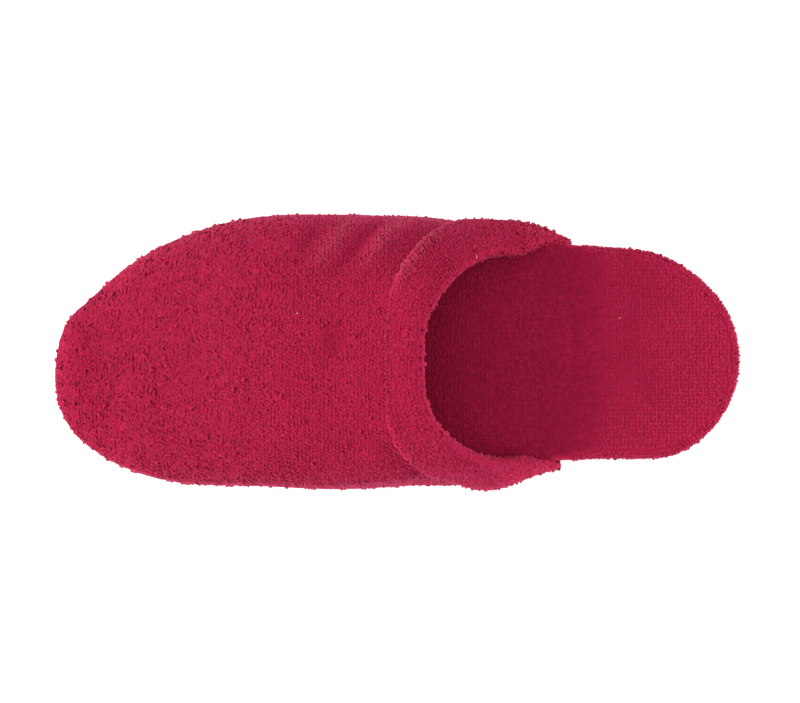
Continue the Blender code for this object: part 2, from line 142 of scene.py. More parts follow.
# Places on the collar's edge: share of its half, then place along and out from the crest line
COLLAR = table(
    "share lateral_along lateral medial_along medial",
    (0.00, 0.528, 0.000, 0.528, 0.000),
    (0.20, 0.533, 0.262, 0.533, 0.344),
    (0.35, 0.553, 0.445, 0.550, 0.545),
    (0.50, 0.583, 0.620, 0.578, 0.700),
    (0.62, 0.611, 0.725, 0.606, 0.778),
    (0.73, 0.643, 0.790, 0.638, 0.825),
    (0.83, 0.677, 0.815, 0.670, 0.858),
    (0.91, 0.708, 0.885, 0.699, 0.915),
    (1.00, 0.748, 1.000, 0.732, 1.000),
)
# Width of the folded band at shares of the collar's half
HEM_FRONT = table(
    "share width",
    (0.00, 0.43), (0.10, 0.43), (0.21, 0.47), (0.31, 0.54), (0.42, 0.61),
    (0.54, 0.67), (0.67, 0.75), (0.78, 0.86), (0.89, 0.96), (1.00, 1.00),
)
# Edges of the padded layers, from their underside to their top
MIDSOLE_SIDE = table("inset level", (1.0, 0.0), (0.17, 0.25), (0.0, 0.6), (0.67, 1.0))
INSOLE_SIDE = table(
    "inset level",
    (0.08, 0.0), (0.0, 0.25), (0.06, 0.55), (0.22, 0.82), (0.50, 0.96), (1.0, 1.0),
)


class Spline:
    """Natural cubic spline through a short table, for arrays."""

    def __init__(self, knots: Array, values: Array) -> None:
        """Solves for the bend at each knot.

        Args:
            knots: places of the knots, rising.
            values: what the spline is there.
        """
        self.x, self.y = np.array(knots, float), np.array(values, float)
        self.step = np.diff(self.x)
        system, right = np.eye(len(self.x)), np.zeros(len(self.x))
        for i in range(1, len(self.x) - 1):
            before, after = self.step[i - 1], self.step[i]
            system[i, i - 1:i + 2] = before, 2 * (before + after), after
            rise, fall = self.y[i + 1] - self.y[i], self.y[i] - self.y[i - 1]
            right[i] = 6 * (rise / after - fall / before)
        self.bend = np.linalg.solve(system, right)

    def __call__(self, at: Array) -> Array:
        """Values of the spline.

        Args:
            at: the places asked for.

        Returns:
            One value for each place.
        """
        at = np.asarray(at, float)
        i = np.clip(np.searchsorted(self.x, at) - 1, 0, len(self.step) - 1)
        a, b, h = self.x[i + 1] - at, at - self.x[i], self.step[i]
        cubic = (self.bend[i] * a ** 3 + self.bend[i + 1] * b ** 3) / (6 * h)
        return cubic + (self.y[i] / h - self.bend[i] * h / 6) * a \
            + (self.y[i + 1] / h - self.bend[i + 1] * h / 6) * b


def turn(along: Array) -> Array:
    """Angle share that stands for a share of a length: even steps of it crowd at both tips."""
    return np.arccos(1 - 2 * np.clip(along, 0.0, 1.0)) / math.pi


def ramp(value: Array, start: float, full: float) -> Array:
    """0 up to the start, 1 from full on, smooth between. It runs backwards where full is less."""
    share = np.clip((np.asarray(value, float) - start) / (full - start), 0.0, 1.0)
    return share * share * (3 - 2 * share)


def unit(vectors: Array) -> Array:
    """The same directions with length 1."""
    return vectors / np.maximum(np.linalg.norm(vectors, axis=-1, keepdims=True), TINY)


def travel(points: Array) -> Array:
    """Distance of each point from the first one, along the line through them."""
    return np.concatenate([[0.0], np.cumsum(np.linalg.norm(np.diff(points, axis=0), axis=1))])


def resample(at: Array, reach: Array, points: Array) -> Array:
    """Points at the given distances along a line whose own points lie at the distances in reach."""
    return np.stack([np.interp(at, reach, column) for column in points.T], axis=1)


class Fade(NamedTuple):
    """An amount that sets in between two places along one axis."""

    amount: float
    start: float
    full: float


def faded(y: Array, fades: tuple[Fade, ...], base: Array | float = 0.0) -> Array:
    """A base value with the fades added to it, at each Y."""
    return sum((fade.amount * ramp(y, fade.start, fade.full) for fade in fades), base)


@dataclass(frozen=True)
class Last:
    """The slipper's own shape: the sizes and functions that its solids are worked out from."""

    length: float = 0.2800
    ball_width: float = 0.1022
    waist_width: float = 0.0862
    heel_width: float = 0.0864
    toe_swing: float = -0.0104
    heel_swing: float = -0.0029
    outsole_thick: float = 0.0032
    midsole_thick: float = 0.0100
    insole_thick: float = 0.0055
    toe_spring: float = 0.0055
    arch_lift: float = 0.0014
    heel_roll: float = 0.0012
    wall: float = 0.0038
    instep_rise: float = 0.0420
    side_swell: float = 0.0100
    crest_shift: float = -0.0060
    gap: float = 0.0003
    spring_end: float = 0.22
    arch: tuple[float, float] = (0.46, 0.74)
    roll_from: float = 0.95
    toe_padding: float = 0.60
    padding_ease: float = 1.5
    roundness: float = 2.3
    tuck_before: float = 0.02
    tuck_after: float = 0.06
    nudge: float = 1e-4
    edge_steps: int = 1200
    line_steps: int = 200
    splines: dict = field(default_factory=dict)

    def __post_init__(self) -> None:
        """Works the tables into splines."""
        widths = np.array([self.ball_width, self.waist_width, self.heel_width])
        widths = widths[SOLE["width"].astype(int)]
        turns = turn(VAMP["along"])
        for side in Side:
            name = side.name.lower()
            outline = side.value * widths * SOLE[name]
            self.splines["sole", side] = Spline(
                [0.0, *turn(SOLE["along"]), 1.0], [self.toe_swing, *outline, self.heel_swing])
            self.splines["swell", side] = Spline(turns, self.side_swell * VAMP[name])
            self.splines["collar_along", side] = Spline(COLLAR["share"], COLLAR[name + "_along"])
            self.splines["collar", side] = Spline(COLLAR["share"], COLLAR[name])
        self.splines["crest"] = Spline(turns, self.instep_rise * VAMP["crest"])
        self.splines["widest"] = Spline(turns, VAMP["widest"])
        for side in Side:
            reach = np.linspace(0.0, 1.0, self.edge_steps + 1) * self.end_turn(side)
            edge = self.swelled_edge(reach, side)
            self.splines["edge", side] = (self.turned(edge[:, 1]), edge[:, 0])

    @property
    def toe_y(self) -> float:
        """Foremost point of the upper."""
        return self.length / 2

    @property
    def toe_proud(self) -> float:
        """How far the upper reaches ahead of the padded sole."""
        return self.gap + self.wall + VAMP["lateral"][0] * self.side_swell

    @property
    def sole_length(self) -> float:
        """Length of the padded sole."""
        return self.length - self.toe_proud

    @property
    def sole_toe_y(self) -> float:
        """Foremost point of the padded sole."""
        return self.toe_y - self.toe_proud

    def end_along(self, side: Side) -> float:
        """Share of the length at which the collar ends on a side."""
        return float(COLLAR[side.name.lower() + "_along"][-1])

    def end_turn(self, side: Side) -> float:
        """Turn at which the collar ends on a side."""
        return float(turn(self.end_along(side)))

    def turned(self, y: Array) -> Array:
        """Turn along the upper at a Y."""
        return turn((self.toe_y - y) / self.length)

    def tucked(self, turned: Array, side: Side) -> Array:
        """1 where the upper covers the sole's edge, 0 behind it."""
        end = self.end_turn(side)
        return 1 - ramp(turned, end - self.tuck_before, end + self.tuck_after)

    def sole_y(self, turned: Array) -> Array:
        """Y of the sole's outline at a turn."""
        return self.sole_toe_y - self.sole_length * (1 - np.cos(math.pi * turned)) / 2

    def sole_point(self, turned: Array, side: Side) -> Array:
        """X and Y of the sole's outline at a turn."""
        return np.stack([self.splines["sole", side](turned), self.sole_y(turned)], axis=-1)

    def sole_edge(self, turned: Array, side: Side, spread: Array | float = 0.0) -> Array:
        """Points beside the sole's outline, seen from above.

        Args:
            turned: turns from the toe, 0, to the heel, 1.
            side: side of the foot.
            spread: how far out the points are moved.

        Returns:
            One row of X and Y for each turn.
        """
        turned = np.asarray(turned, float)
        behind = self.sole_point(np.minimum(turned + self.nudge, 1.0), side)
        run = behind - self.sole_point(np.maximum(turned - self.nudge, 0.0), side)
        run[..., 1] = np.where((turned <= 0.0) | (turned >= 1.0), 0.0, run[..., 1])
        out = side.value * unit(np.stack([-run[..., 1], run[..., 0]], axis=-1))
        return self.sole_point(turned, side) + np.asarray(spread)[..., None] * out

    def sole_along(self, y: Array) -> Array:
        """Share of the padded sole's length from its toe."""
        return np.clip((self.sole_toe_y - y) / self.sole_length, 0.0, 1.0)

    def lift(self, y: Array) -> Array:
        """Height of the outsole's underside.

        Args:
            y: places along the slipper.

        Returns:
            The height at each place.
        """
        along = self.sole_along(y)
        spring = self.toe_spring * np.maximum(0.0, 1 - along / self.spring_end) ** 2
        low, high = self.arch
        arch = np.sin(math.pi * np.clip((along - low) / (high - low), 0.0, 1.0)) ** 2
        roll = np.maximum(0.0, (along - self.roll_from) / (1 - self.roll_from)) ** 2
        return spring + self.arch_lift * arch + self.heel_roll * roll

    def padding(self, y: Array) -> Array:
        """Share of the heel's padding that the sole has at a Y."""
        ahead = np.maximum(0.0, 1 - self.sole_along(y) / self.arch[1])
        return 1 - (1 - self.toe_padding) * ahead ** self.padding_ease

    def midsole_floor(self, y: Array) -> Array:
        """Underside of the midsole, and the upper's feather edge."""
        return self.lift(y) + self.outsole_thick + self.gap

    def insole_floor(self, y: Array) -> Array:
        """Underside of the insole."""
        return self.midsole_floor(y) + self.midsole_thick * self.padding(y) + self.gap

    def footbed(self, y: Array) -> Array:
        """Top of the insole, before its hollow."""
        return self.insole_floor(y) + self.insole_thick * self.padding(y)

    def swelled_edge(self, turned: Array, side: Side) -> Array:
        """Widest line of the upper's outside, seen from above."""
        return self.sole_edge(turned, side, self.gap + self.wall + self.splines["swell", side](turned))

    def flare(self, turned: Array, side: Side) -> Array:
        """X of the upper's widest line at a turn."""
        return np.interp(turned, *self.splines["edge", side])

    def crest_line(self, turned: Array) -> Array:
        """Sideways place of the vamp's top line."""
        shift = self.crest_shift * np.minimum(turned / turn(COLLAR["lateral_along"][0]), 1.0)
        return sum(self.flare(turned, side) for side in Side) / 2 + shift

    def widest_height(self, y: Array) -> Array:
        """Height of the upper's widest line."""
        share = self.splines["widest"](self.turned(y))
        return self.midsole_floor(y) + share * (self.footbed(y) - self.midsole_floor(y))

    def arch_height(self, x: Array, y: Array) -> Array:
        """Height of the upper's outside over its widest line.

        Args:
            x: places across the slipper.
            y: places along it.

        Returns:
            The height at each place.
        """
        turned = self.turned(y)
        middle = self.crest_line(turned)
        half = np.where(x > middle, *[self.flare(turned, side) - middle for side in Side])
        half = np.where(np.abs(half) > self.gap, half, self.gap)
        across = np.minimum(np.abs((x - middle) / half), 1.0)
        arch = (1 - across ** self.roundness) ** (1 / self.roundness)
        return self.widest_height(y) + self.splines["crest"](turned) * arch

    def collar_place(self, share: Array, side: Side) -> Array:
        """Places on the collar's edge, seen from above.

        Args:
            share: of the collar's half, from the throat.
            side: side of the foot.

        Returns:
            One row of X and Y for each share.
        """
        along = self.splines["collar_along", side](share)
        turned = turn(along)
        middle = self.crest_line(turned)
        x = middle + self.splines["collar", side](share) * (self.flare(turned, side) - middle)
        return np.stack([x, self.toe_y - along * self.length], axis=-1)

    def vamp_line(self, line: float) -> Array:
        """Points of the upper's outside along one line, from the feather edge to the collar.

        Args:
            line: from -1 at the collar's lateral end over the toe at 0 to 1 at its medial end.

        Returns:
            The points, evenly spaced.
        """
        side = Side.LATERAL if line < 0 else Side.MEDIAL
        turned = np.array(abs(line) * self.end_turn(side))
        swell = self.splines["swell", side](turned)
        widest = self.swelled_edge(turned, side)
        rise = np.linspace(0.0, 1.0, self.line_steps // 4 + 1)
        spread = self.gap + self.wall + swell * np.sin(math.pi / 2 * rise)
        low = self.sole_edge(np.full_like(rise, turned), side, spread)
        feather = self.midsole_floor(low[:, 1])
        low_z = feather + rise * (self.widest_height(widest[1]) - feather)
        sweep = 1 - np.cos(math.pi / 2 * np.linspace(0.0, 1.0, self.line_steps)[1:])
        high = widest + sweep[:, None] * (self.collar_place(np.array(abs(line)), side) - widest)
        high_z = self.arch_height(high[:, 0], high[:, 1])
        rough = np.column_stack([np.vstack([low, high]), np.concatenate([low_z, high_z])])
        reach = travel(rough)
        return resample(np.linspace(0.0, reach[-1], self.line_steps + 1), reach, rough)


class Sheet:
    """A surface as a grid of points, with its outward normals and the distances along its rows."""

    def __init__(self, points: Array, flip: bool = False) -> None:
        """Works out the normals from each point's neighbours.

        Args:
            points: points[row, place].
            flip: whether the normals would point inwards otherwise.
        """
        self.points = points
        along, across = np.gradient(points, axis=0), np.gradient(points, axis=1)
        self.normals = unit(np.cross(along, across)) * (-1 if flip else 1)
        self.across = np.stack([travel(row) for row in points])

    def at(self, i: Array, j: Array) -> tuple[Array, Array]:
        """Points and normals at fractional places of the grid.

        Args:
            i: rows.
            j: places in them.

        Returns:
            The points, and their normals.
        """
        i, j = (np.clip(at, 0, most - SHY) for at, most in zip((i, j), self.points.shape))
        a, b = i.astype(int), j.astype(int)
        s, t = (i - a)[..., None], (j - b)[..., None]
        found = []
        for grid in (self.points, self.normals):
            near = grid[a, b] * (1 - t) + grid[a, b + 1] * t
            far = grid[a + 1, b] * (1 - t) + grid[a + 1, b + 1] * t
            found.append(near * (1 - s) + far * s)
        return found[0], unit(found[1])

    def trace(self, distances: Array) -> tuple[Array, Array]:
        """One point and its normal on each row, at a distance along it.

        Args:
            distances: one for each row.

        Returns:
            The points, and their normals.
        """
        counts = np.arange(self.points.shape[1])
        places = [np.interp(far, reach, counts) for far, reach in zip(distances, self.across)]
        return self.at(np.arange(len(places), dtype=float), np.array(places))


def show(name: str, shape: bmesh.types.BMesh | bpy.types.Mesh, material: bpy.types.Material) -> Piece:
    """Puts a shape in the scene.

    Args:
        name: the piece's name.
        shape: its mesh, or a body that is made a smooth mesh and freed.
        material: its finish.

    Returns:
        The piece.
    """
    mesh = shape
    if isinstance(shape, bmesh.types.BMesh):
        mesh = bpy.data.meshes.new(name)
        shape.to_mesh(mesh)
        shape.free()
        mesh.shade_smooth()
    mesh.materials.append(material)
    piece = bpy.data.objects.new(name, mesh)
    bpy.context.scene.collection.objects.link(piece)
    return piece


def skin(name: str, rings: Array, around: bool, material: bpy.types.Material) -> Piece:
    """One closed body from rings of equal length.

    Args:
        name: the piece's name.
        rings: points[ring, place].
        around: whether the last ring meets the first. Otherwise each ring is a closed loop, and
            the first and the last are capped.
        material: its finish.

    Returns:
        The piece.
    """
    if around:
        rings = np.concatenate([rings, rings[:1]])
    else:
        rings = np.concatenate([rings, rings[:, :1]], axis=1)
    body = bmesh.new()
    bmesh.ops.create_grid(body, x_segments=rings.shape[1] - 1, y_segments=rings.shape[0] - 1, size=1)
    for vertex, place in zip(body.verts, rings.reshape(-1, 3)):
        vertex.co = place
    bmesh.ops.remove_doubles(body, verts=body.verts, dist=WELD)
    if not around:
        bmesh.ops.holes_fill(body, edges=body.edges, sides=0)
    bmesh.ops.recalc_face_normals(body, faces=body.faces)
    return show(name, body, material)


@dataclass(frozen=True)
class Fold:
    """A crease given as a path seen from above: a ridge if its height is above 0, else a trough."""

    path: tuple[tuple[float, float], ...]
    width: float
    height: float
    # how much painted highlight the ridge lays on the pile
    ridge_highlight: float = 0.0
    tip: float = 0.02
    tip_ease: float = 0.7
    taper: float = 2.0

    def near(self, points: Array) -> Array:
        """How near points are to the fold, whose path and sizes are in mm.

        Args:
            points: places in metres.

        Returns:
            For each point, from 0 far away up to 1 on the fold.
        """
        plan = points[..., :2].reshape(-1, 1, 2) / MM
        path = np.array(self.path, float)
        start, run = path[:-1], np.diff(path, axis=0)
        length = np.linalg.norm(run, axis=1)
        before = travel(path)[:-1]
        share = np.clip(((plan - start) * run).sum(axis=2) / length ** 2, 0.0, 1.0)
        away = np.linalg.norm(plan - start - share[..., None] * run, axis=2)
        nearest = away.argmin(axis=1)[:, None]
        reach = np.take_along_axis(before + share * length, nearest, axis=1)[:, 0] / length.sum()
        across = np.take_along_axis(away, nearest, axis=1)[:, 0] / self.width
        ends = np.sin(math.pi * np.clip(reach, self.tip, 1 - self.tip)) ** self.tip_ease
        return (ends * np.exp(-self.taper * across ** 2)).reshape(points.shape[:-1])

    def __call__(self, points: Array) -> Array:
        """Height that the fold adds at each point, in metres."""
        return self.height * MM * self.near(points)


@dataclass
class Vamp:
    """The hollow upper and the grid that its band shares."""

    last: Last
    hem_width: float = 0.030
    hem_blend: float = 8.0
    hem_share: float = 0.86
    hem_recess: float = 0.0016
    hem_groove: float = -0.0004
    dip_depth: float = 0.0026
    dip_length: float = 0.014
    hem_ends: tuple[float, float] = (0.86, 1.0)
    dip_rises: tuple[float, float] = (0.30, 0.70)
    settled: float = 0.93
    half_lines: int = 100
    crowding: float = 1.35
    dome_rows: int = 90
    hem_rows: int = 16
    # painted shade in the troughs, for each mm of their depth
    trough_shade: float = 0.35
    folds: tuple[Fold, ...] = (
        Fold(((54, -6), (46, 3), (38, 9), (30, 15)), 4.2, 1.2, 0.15),
        Fold(((54, 5), (46, 12), (38, 18), (29, 25)), 4.2, -1.1),
        Fold(((54, 17), (46, 23), (38, 29), (31, 35)), 4.6, 1.1, 0.15),
        Fold(((53, 30), (46, 34), (38, 40)), 4.6, -0.8),
        Fold(((8, 28), (3, 24), (-6, 26)), 7.0, -0.9),
        Fold(((-52, 2), (-44, 9), (-36, 13)), 4.5, 0.5),
    )

    def __post_init__(self) -> None:
        """Lays the grid of the outside: lines round the toe, each from feather edge to collar."""
        half = 1 - (1 - np.arange(1, self.half_lines + 1) / self.half_lines) ** self.crowding
        self.lines = np.concatenate([-half[::-1], [0.0], half])
        grid = np.stack([self.last.vamp_line(line) for line in self.lines])
        self.sheet = Sheet(grid)
        for side in Side:
            turned = np.array(self.last.end_turn(side))
            out = self.last.sole_edge(turned, side, 1.0) - self.last.sole_edge(turned, side)
            near = np.flatnonzero(-side.value * self.lines > self.settled)
            sound = near[-1] + 1 if side is Side.LATERAL else near[0] - 1
            share = (np.abs(self.lines[near]) - self.settled)[:, None, None] / (1 - self.settled)
            blend = (1 - share) * self.sheet.normals[sound] + share * np.array((*out, 0.0))
            self.sheet.normals[near] = unit(blend)
        self.lengths = self.sheet.across[:, -1]
        wide = Spline(HEM_FRONT["share"], self.hem_width * HEM_FRONT["width"])(np.abs(self.lines))
        most = self.hem_share * self.lengths
        self.widths = (wide ** -self.hem_blend + most ** -self.hem_blend) ** (-1 / self.hem_blend)
        self.edge = grid[:, -1]
        self.beyond = unit(np.cross(self.sheet.normals[:, -1], np.gradient(self.edge, axis=0)))

    def hollow(self, distance: Array) -> Array:
        """Depth of the dip ahead of the band.

        Args:
            distance: from the collar, one row a line.

        Returns:
            The depth at each distance.
        """
        line = np.abs(self.lines)[:, None]
        ahead = distance - self.widths[:, None]
        side = ramp(line, *self.dip_rises) * (1 - ramp(line, *self.hem_ends))
        reach = np.where(ahead > 0, self.dip_length, self.dip_length / 2)
        return self.dip_depth * side * (1 - ramp(np.abs(ahead) / reach, 0.0, 1.0))

    def crease(self, points: Array, folds: tuple[Fold, ...]) -> tuple[Array, Array]:
        """Works out the colour that creases paint on the pile: painted shade in the troughs, a painted
        highlight on the ridges.

        Args:
            points: roots of the loops.
            folds: the creases.

        Returns:
            Painted shade and painted highlight of each loop.
        """
        raised = sum(fold(points) for fold in folds) / MM
        painted_highlight = sum(fold.ridge_highlight * fold.near(points) for fold in folds)
        return self.trough_shade * np.minimum(raised, 0.0), painted_highlight

    def outside(self, distance: Array) -> tuple[Array, Array]:
        """Points and normals of the outside, before any crease.

        Args:
            distance: from the collar, one row a line.

        Returns:
            The points, and their normals.
        """
        at = np.arange(len(self.lines), dtype=float)[:, None] + np.zeros_like(distance)
        share = 1 - np.clip(distance, 0.0, None) / self.lengths[:, None]
        return self.sheet.at(at, share * self.last.line_steps)

    def place(self, distance: Array, depth: Array, folded: float = 1.0) -> Array:
        """Points at distances from the collar and depths below the outside.

        Args:
            distance: one row a line. Below 0 is beyond the collar's edge.
            depth: of the same shape.
            folded: share of the creases that the points follow.

        Returns:
            The points, one row a line.
        """
        points, normals = self.outside(distance)
        over = np.minimum(distance, 0.0)[..., None] * self.beyond[:, None]
        lift = folded * sum(fold(points) for fold in self.folds)
        return points - over - (depth - lift)[..., None] * normals

    def row(self, distance: Array, dipped: float) -> tuple[Array, Array]:
        """One place on each line for the feet of the pile.

        Args:
            distance: from the collar, one for each line.
            dipped: share of the dip ahead of the band that the places follow.

        Returns:
            The points, and their normals.
        """
        distance = distance[:, None]
        points = self.place(distance, NAP + dipped * self.hollow(distance))
        return points[:, 0], self.outside(distance)[1][:, 0]

    def build(self, finish: "Finish") -> Piece:
        """Makes the upper: outside and lining one wall apart, drawn in under the band.

        Args:
            finish: the ground of its terry.

        Returns:
            The piece.
        """
        front = (self.widths + self.hem_groove)[:, None]
        down = np.linspace(0.0, 1.0, self.dome_rows)
        shown = self.lengths[:, None] + down * (front - self.lengths[:, None])
        under = front * np.linspace(1.0, 0.0, self.hem_rows)
        distance = np.concatenate([shown, under], axis=1)
        recess = np.concatenate([np.full_like(shown, NAP), np.full_like(under, self.hem_recess)], axis=1)
        hollow = self.hollow(distance)
        outer = self.place(distance, recess + hollow)
        inner = self.place(distance, self.last.wall + hollow)
        rings = np.concatenate([outer, inner[:, ::-1]], axis=1)
        piece = skin("vamp", rings, False, finish.material)
        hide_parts("upper")
        return finish.dress(piece)


@dataclass
class Hem:
    """Terry band folded over the collar's edge."""

    vamp: Vamp
    turn_in: float = 0.0085
    layer: float = 0.0019
    crown: float = 0.0006
    stub: float = 0.0009
    tuck: float = 0.0007
    leaf_clear: float = 0.0080
    wrap_clear: tuple[float, float] = (0.0034, 0.0060)
    flush: tuple[float, float] = (0.15, 0.45)
    blunt: float = 0.7
    front_rows: int = 2
    rim_steps: int = 12
    crown_rows: int = 16
    crown_shares: tuple[float, float] = (0.985, 0.05)
    seat_rows: int = 10
    seat_shares: tuple[float, float] = (0.0, 0.9)
    folded: float = 0.5
    folds: tuple[Fold, ...] = (
        Fold(((52, -25), (48, -17), (43, -12), (39, -9), (34, -5.5), (28, -1.5), (21, 1)), 3.8, 1.4, 0.16),
        Fold(((-54, -20), (-47, -9), (-40, -3), (-31, 2), (-24, 4)), 3.2, 0.9),
    )

    @property
    def apex(self) -> int:
        """Place of the rim's turning point on each line of the cover."""
        return self.front_rows + self.crown_rows + self.rim_steps // 2

    def build(self, finish: "Finish") -> Piece:
        """Makes the outer leaf, the rolled rim and the inner leaf as one body.

        Args:
            finish: the ground of its terry.

        Returns:
            The piece.
        """
        vamp, last = self.vamp, self.vamp.last
        line, width = np.abs(vamp.lines)[:, None], vamp.widths[:, None]
        clear = (vamp.edge[:, 2] - last.footbed(vamp.edge[:, 1]))[:, None]
        wrap = ramp(clear, *self.wrap_clear)
        reach = np.clip(clear - self.leaf_clear, -2 * last.gap - self.stub, self.turn_in)
        ending = ramp(line, *vamp.hem_ends)
        crown = self.crown * (1 - ending) * ramp(line, *self.flush)
        slack = last.gap * (1 + ending)
        seat = vamp.hem_recess - slack
        lining = last.wall + last.gap * wrap - (self.tuck + self.stub) * (1 - wrap)
        inner = last.wall + (last.gap + self.layer) * wrap - self.tuck * (1 - wrap)
        middle, bulge = (inner - crown) / 2, (inner + crown) / 2 - NAP
        front = width - slack
        rows = [(front, seat + vamp.hollow(front)), (front, seat / 2)]
        rows += [(share * width, NAP - crown) for share in np.linspace(*self.crown_shares, self.crown_rows)]
        proud = slack + self.layer * (1 - self.blunt * ending) - NAP / 2
        for angle in np.linspace(0.0, math.pi, self.rim_steps + 1):
            beside = proud * math.sin(angle)
            beside = np.maximum(beside, -reach) if angle > math.pi / 2 else beside
            rows.append((-beside, middle - bulge * math.cos(angle)))
        halfway = np.minimum(reach, reach / 2)
        rows += [(halfway, inner - NAP), (reach, inner - NAP)]
        shown = len(rows)
        rows += [(reach, lining), (halfway, lining), (-slack, lining), (-slack, seat)]
        for share in np.linspace(*self.seat_shares, self.seat_rows):
            rows.append((width * share, seat + vamp.hollow(width * share)))
        distance, depth = (np.concatenate([part + 0 * width for part in parts], axis=1)
                           for parts in zip(*rows))
        flat = vamp.place(distance, depth, self.folded)
        outer = np.arange(depth.shape[1]) < self.front_rows + self.crown_rows
        raised = sum(fold(flat) for fold in self.folds)
        rings = vamp.place(distance, depth - outer * raised, self.folded)
        self.cover = Sheet(rings[:, :shown])
        piece = skin("collar_band", rings, False, finish.material)
        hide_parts("collar_hem")
        return finish.dress(piece)


class Layer(NamedTuple):
    """What sets one padded layer apart."""

    name: str
    side: dict[str, Array]
    rounding: float
    floor: Callable[[Array], Array]
    thick: float
    bulge: float = 0.0
    dish: float = 0.0
    nap: float = 0.0


@dataclass
class Padding:
    """Midsole and insole: the two foam layers inside the terry."""

    last: Last
    stations: int = 150
    edge_rows: int = 14
    midsole_round: float = 0.0012
    insole_round: float = 0.0100
    dish: float = 0.0018
    spine_inset: float = 0.26
    inner_rings: int = 22
    tucked_round: float = 0.0008
    bulge: float = 0.0018
    folds: tuple[Fold, ...] = (Fold(((22, -70.5), (4, -72), (-21, -71)), 2.2, -0.5),)

    def run(self, side: Side) -> Array:
        """Turns of a side's stations: to the heel on the lateral side, back on the medial one."""
        turned = np.linspace(0.0, 1.0, self.stations + 1)
        return turned if side is Side.LATERAL else turned[::-1][1:-1]

    def edge(self, layer: Layer) -> Array:
        """Points of a layer's edge.

        Args:
            layer: which layer.

        Returns:
            One row of points, from the underside to the top, for each station round the sole.
        """
        at = np.linspace(0, len(layer.side["inset"]) - 1, self.edge_rows)
        inset, level = (np.clip(Spline(np.arange(len(column)), column)(at), 0.0, 1.0)
                        for column in layer.side.values())
        sides = []
        for side in Side:
            grid = np.repeat(self.run(side)[:, None], self.edge_rows, axis=1)
            tucked = self.last.tucked(grid, side)
            around = layer.rounding + tucked * (min(layer.rounding, self.tucked_round) - layer.rounding)
            spread = tucked * layer.bulge + (tucked - 1) * NAP - around * inset
            place = self.last.sole_edge(grid, side, spread)
            y = place[..., 1]
            z = layer.floor(y) + level * (layer.thick * self.last.padding(y) - layer.nap)
            sides.append(np.concatenate([place, z[..., None]], axis=2))
        return np.concatenate(sides)

    def body(self, layer: Layer, edge: Array, finish: "Finish") -> Piece:
        """Closes a layer, from its edge in to a middle line.

        Args:
            layer: which layer.
            edge: its edge's points.
            finish: the ground of its terry.

        Returns:
            The piece.
        """
        last = self.last
        tip_y = last.sole_y(np.concatenate([self.run(side) for side in Side]))
        middle_y = last.sole_toe_y - last.sole_length / 2
        spine_y = (1 - self.spine_inset) * (tip_y - middle_y) + middle_y
        at = turn(last.sole_along(spine_y))
        spine_x = sum(last.splines["sole", side](at) for side in Side) / 2
        spine = np.stack([spine_x, spine_y], axis=1)[:, None]
        inward = np.linspace(0.0, 1.0, self.inner_rings)[None, 1:, None]
        under, top = (rim + inward * (spine - rim) for rim in (edge[:, :1, :2], edge[:, -1:, :2]))
        top_z = layer.floor(top[..., 1]) + layer.thick * last.padding(top[..., 1]) - layer.nap
        top_z = top_z - layer.dish * np.sin(math.pi / 2 * inward[..., 0])
        top = np.concatenate([top, top_z[..., None]], axis=2)
        top[..., 2] += (layer.dish > 0) * sum(fold(top) for fold in self.folds)
        under = np.concatenate([under, layer.floor(under[..., 1])[..., None]], axis=2)[:, ::-1]
        piece = skin(layer.name, np.concatenate([under, edge, top], axis=1), True, finish.material)
        return finish.dress(piece)

    def build(self, bed: "Finish", platform: "Finish") -> tuple[Piece, Piece]:
        """Makes both layers.

        Args:
            bed: the footbed's terry.
            platform: the platform's terry.

        Returns:
            The insole and the midsole.
        """
        last = self.last
        upper = Layer("footbed", INSOLE_SIDE, self.insole_round, last.insole_floor,
                      last.insole_thick, self.bulge, self.dish, NAP)
        lower = Layer("platform", MIDSOLE_SIDE, self.midsole_round, last.midsole_floor,
                      last.midsole_thick)
        over, below = self.edge(upper), self.edge(lower)
        self.side = np.concatenate([below, over], axis=1)
        insole = self.body(upper, over, bed)
        midsole = self.body(lower, below, platform)
        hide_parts("insole")
        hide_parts("midsole")
        return insole, midsole


class Value:
    """A number inside a material: wraps a socket so that shader maths reads as maths."""

    def __init__(self, graph: "Graph", socket: bpy.types.NodeSocket) -> None:
        """Takes the graph and one of its output sockets."""
        self.graph, self.socket = graph, socket

    def __add__(self, other: "Value | float") -> "Value":
        """Sum."""
        return self.graph.value("ShaderNodeMath", {"operation": "ADD"}, {0: self, 1: other})

    def __mul__(self, other: "Value | float") -> "Value":
        """Product."""
        return self.graph.value("ShaderNodeMath", {"operation": "MULTIPLY"}, {0: self, 1: other})

    __radd__, __rmul__ = __add__, __mul__

    def step(self, low: float, high: float) -> "Value":
        """0 at low, 1 at high, smooth between."""
        settings = {"interpolation_type": "SMOOTHSTEP"}
        return self.graph.value("ShaderNodeMapRange", settings, {0: self, 1: low, 2: high})


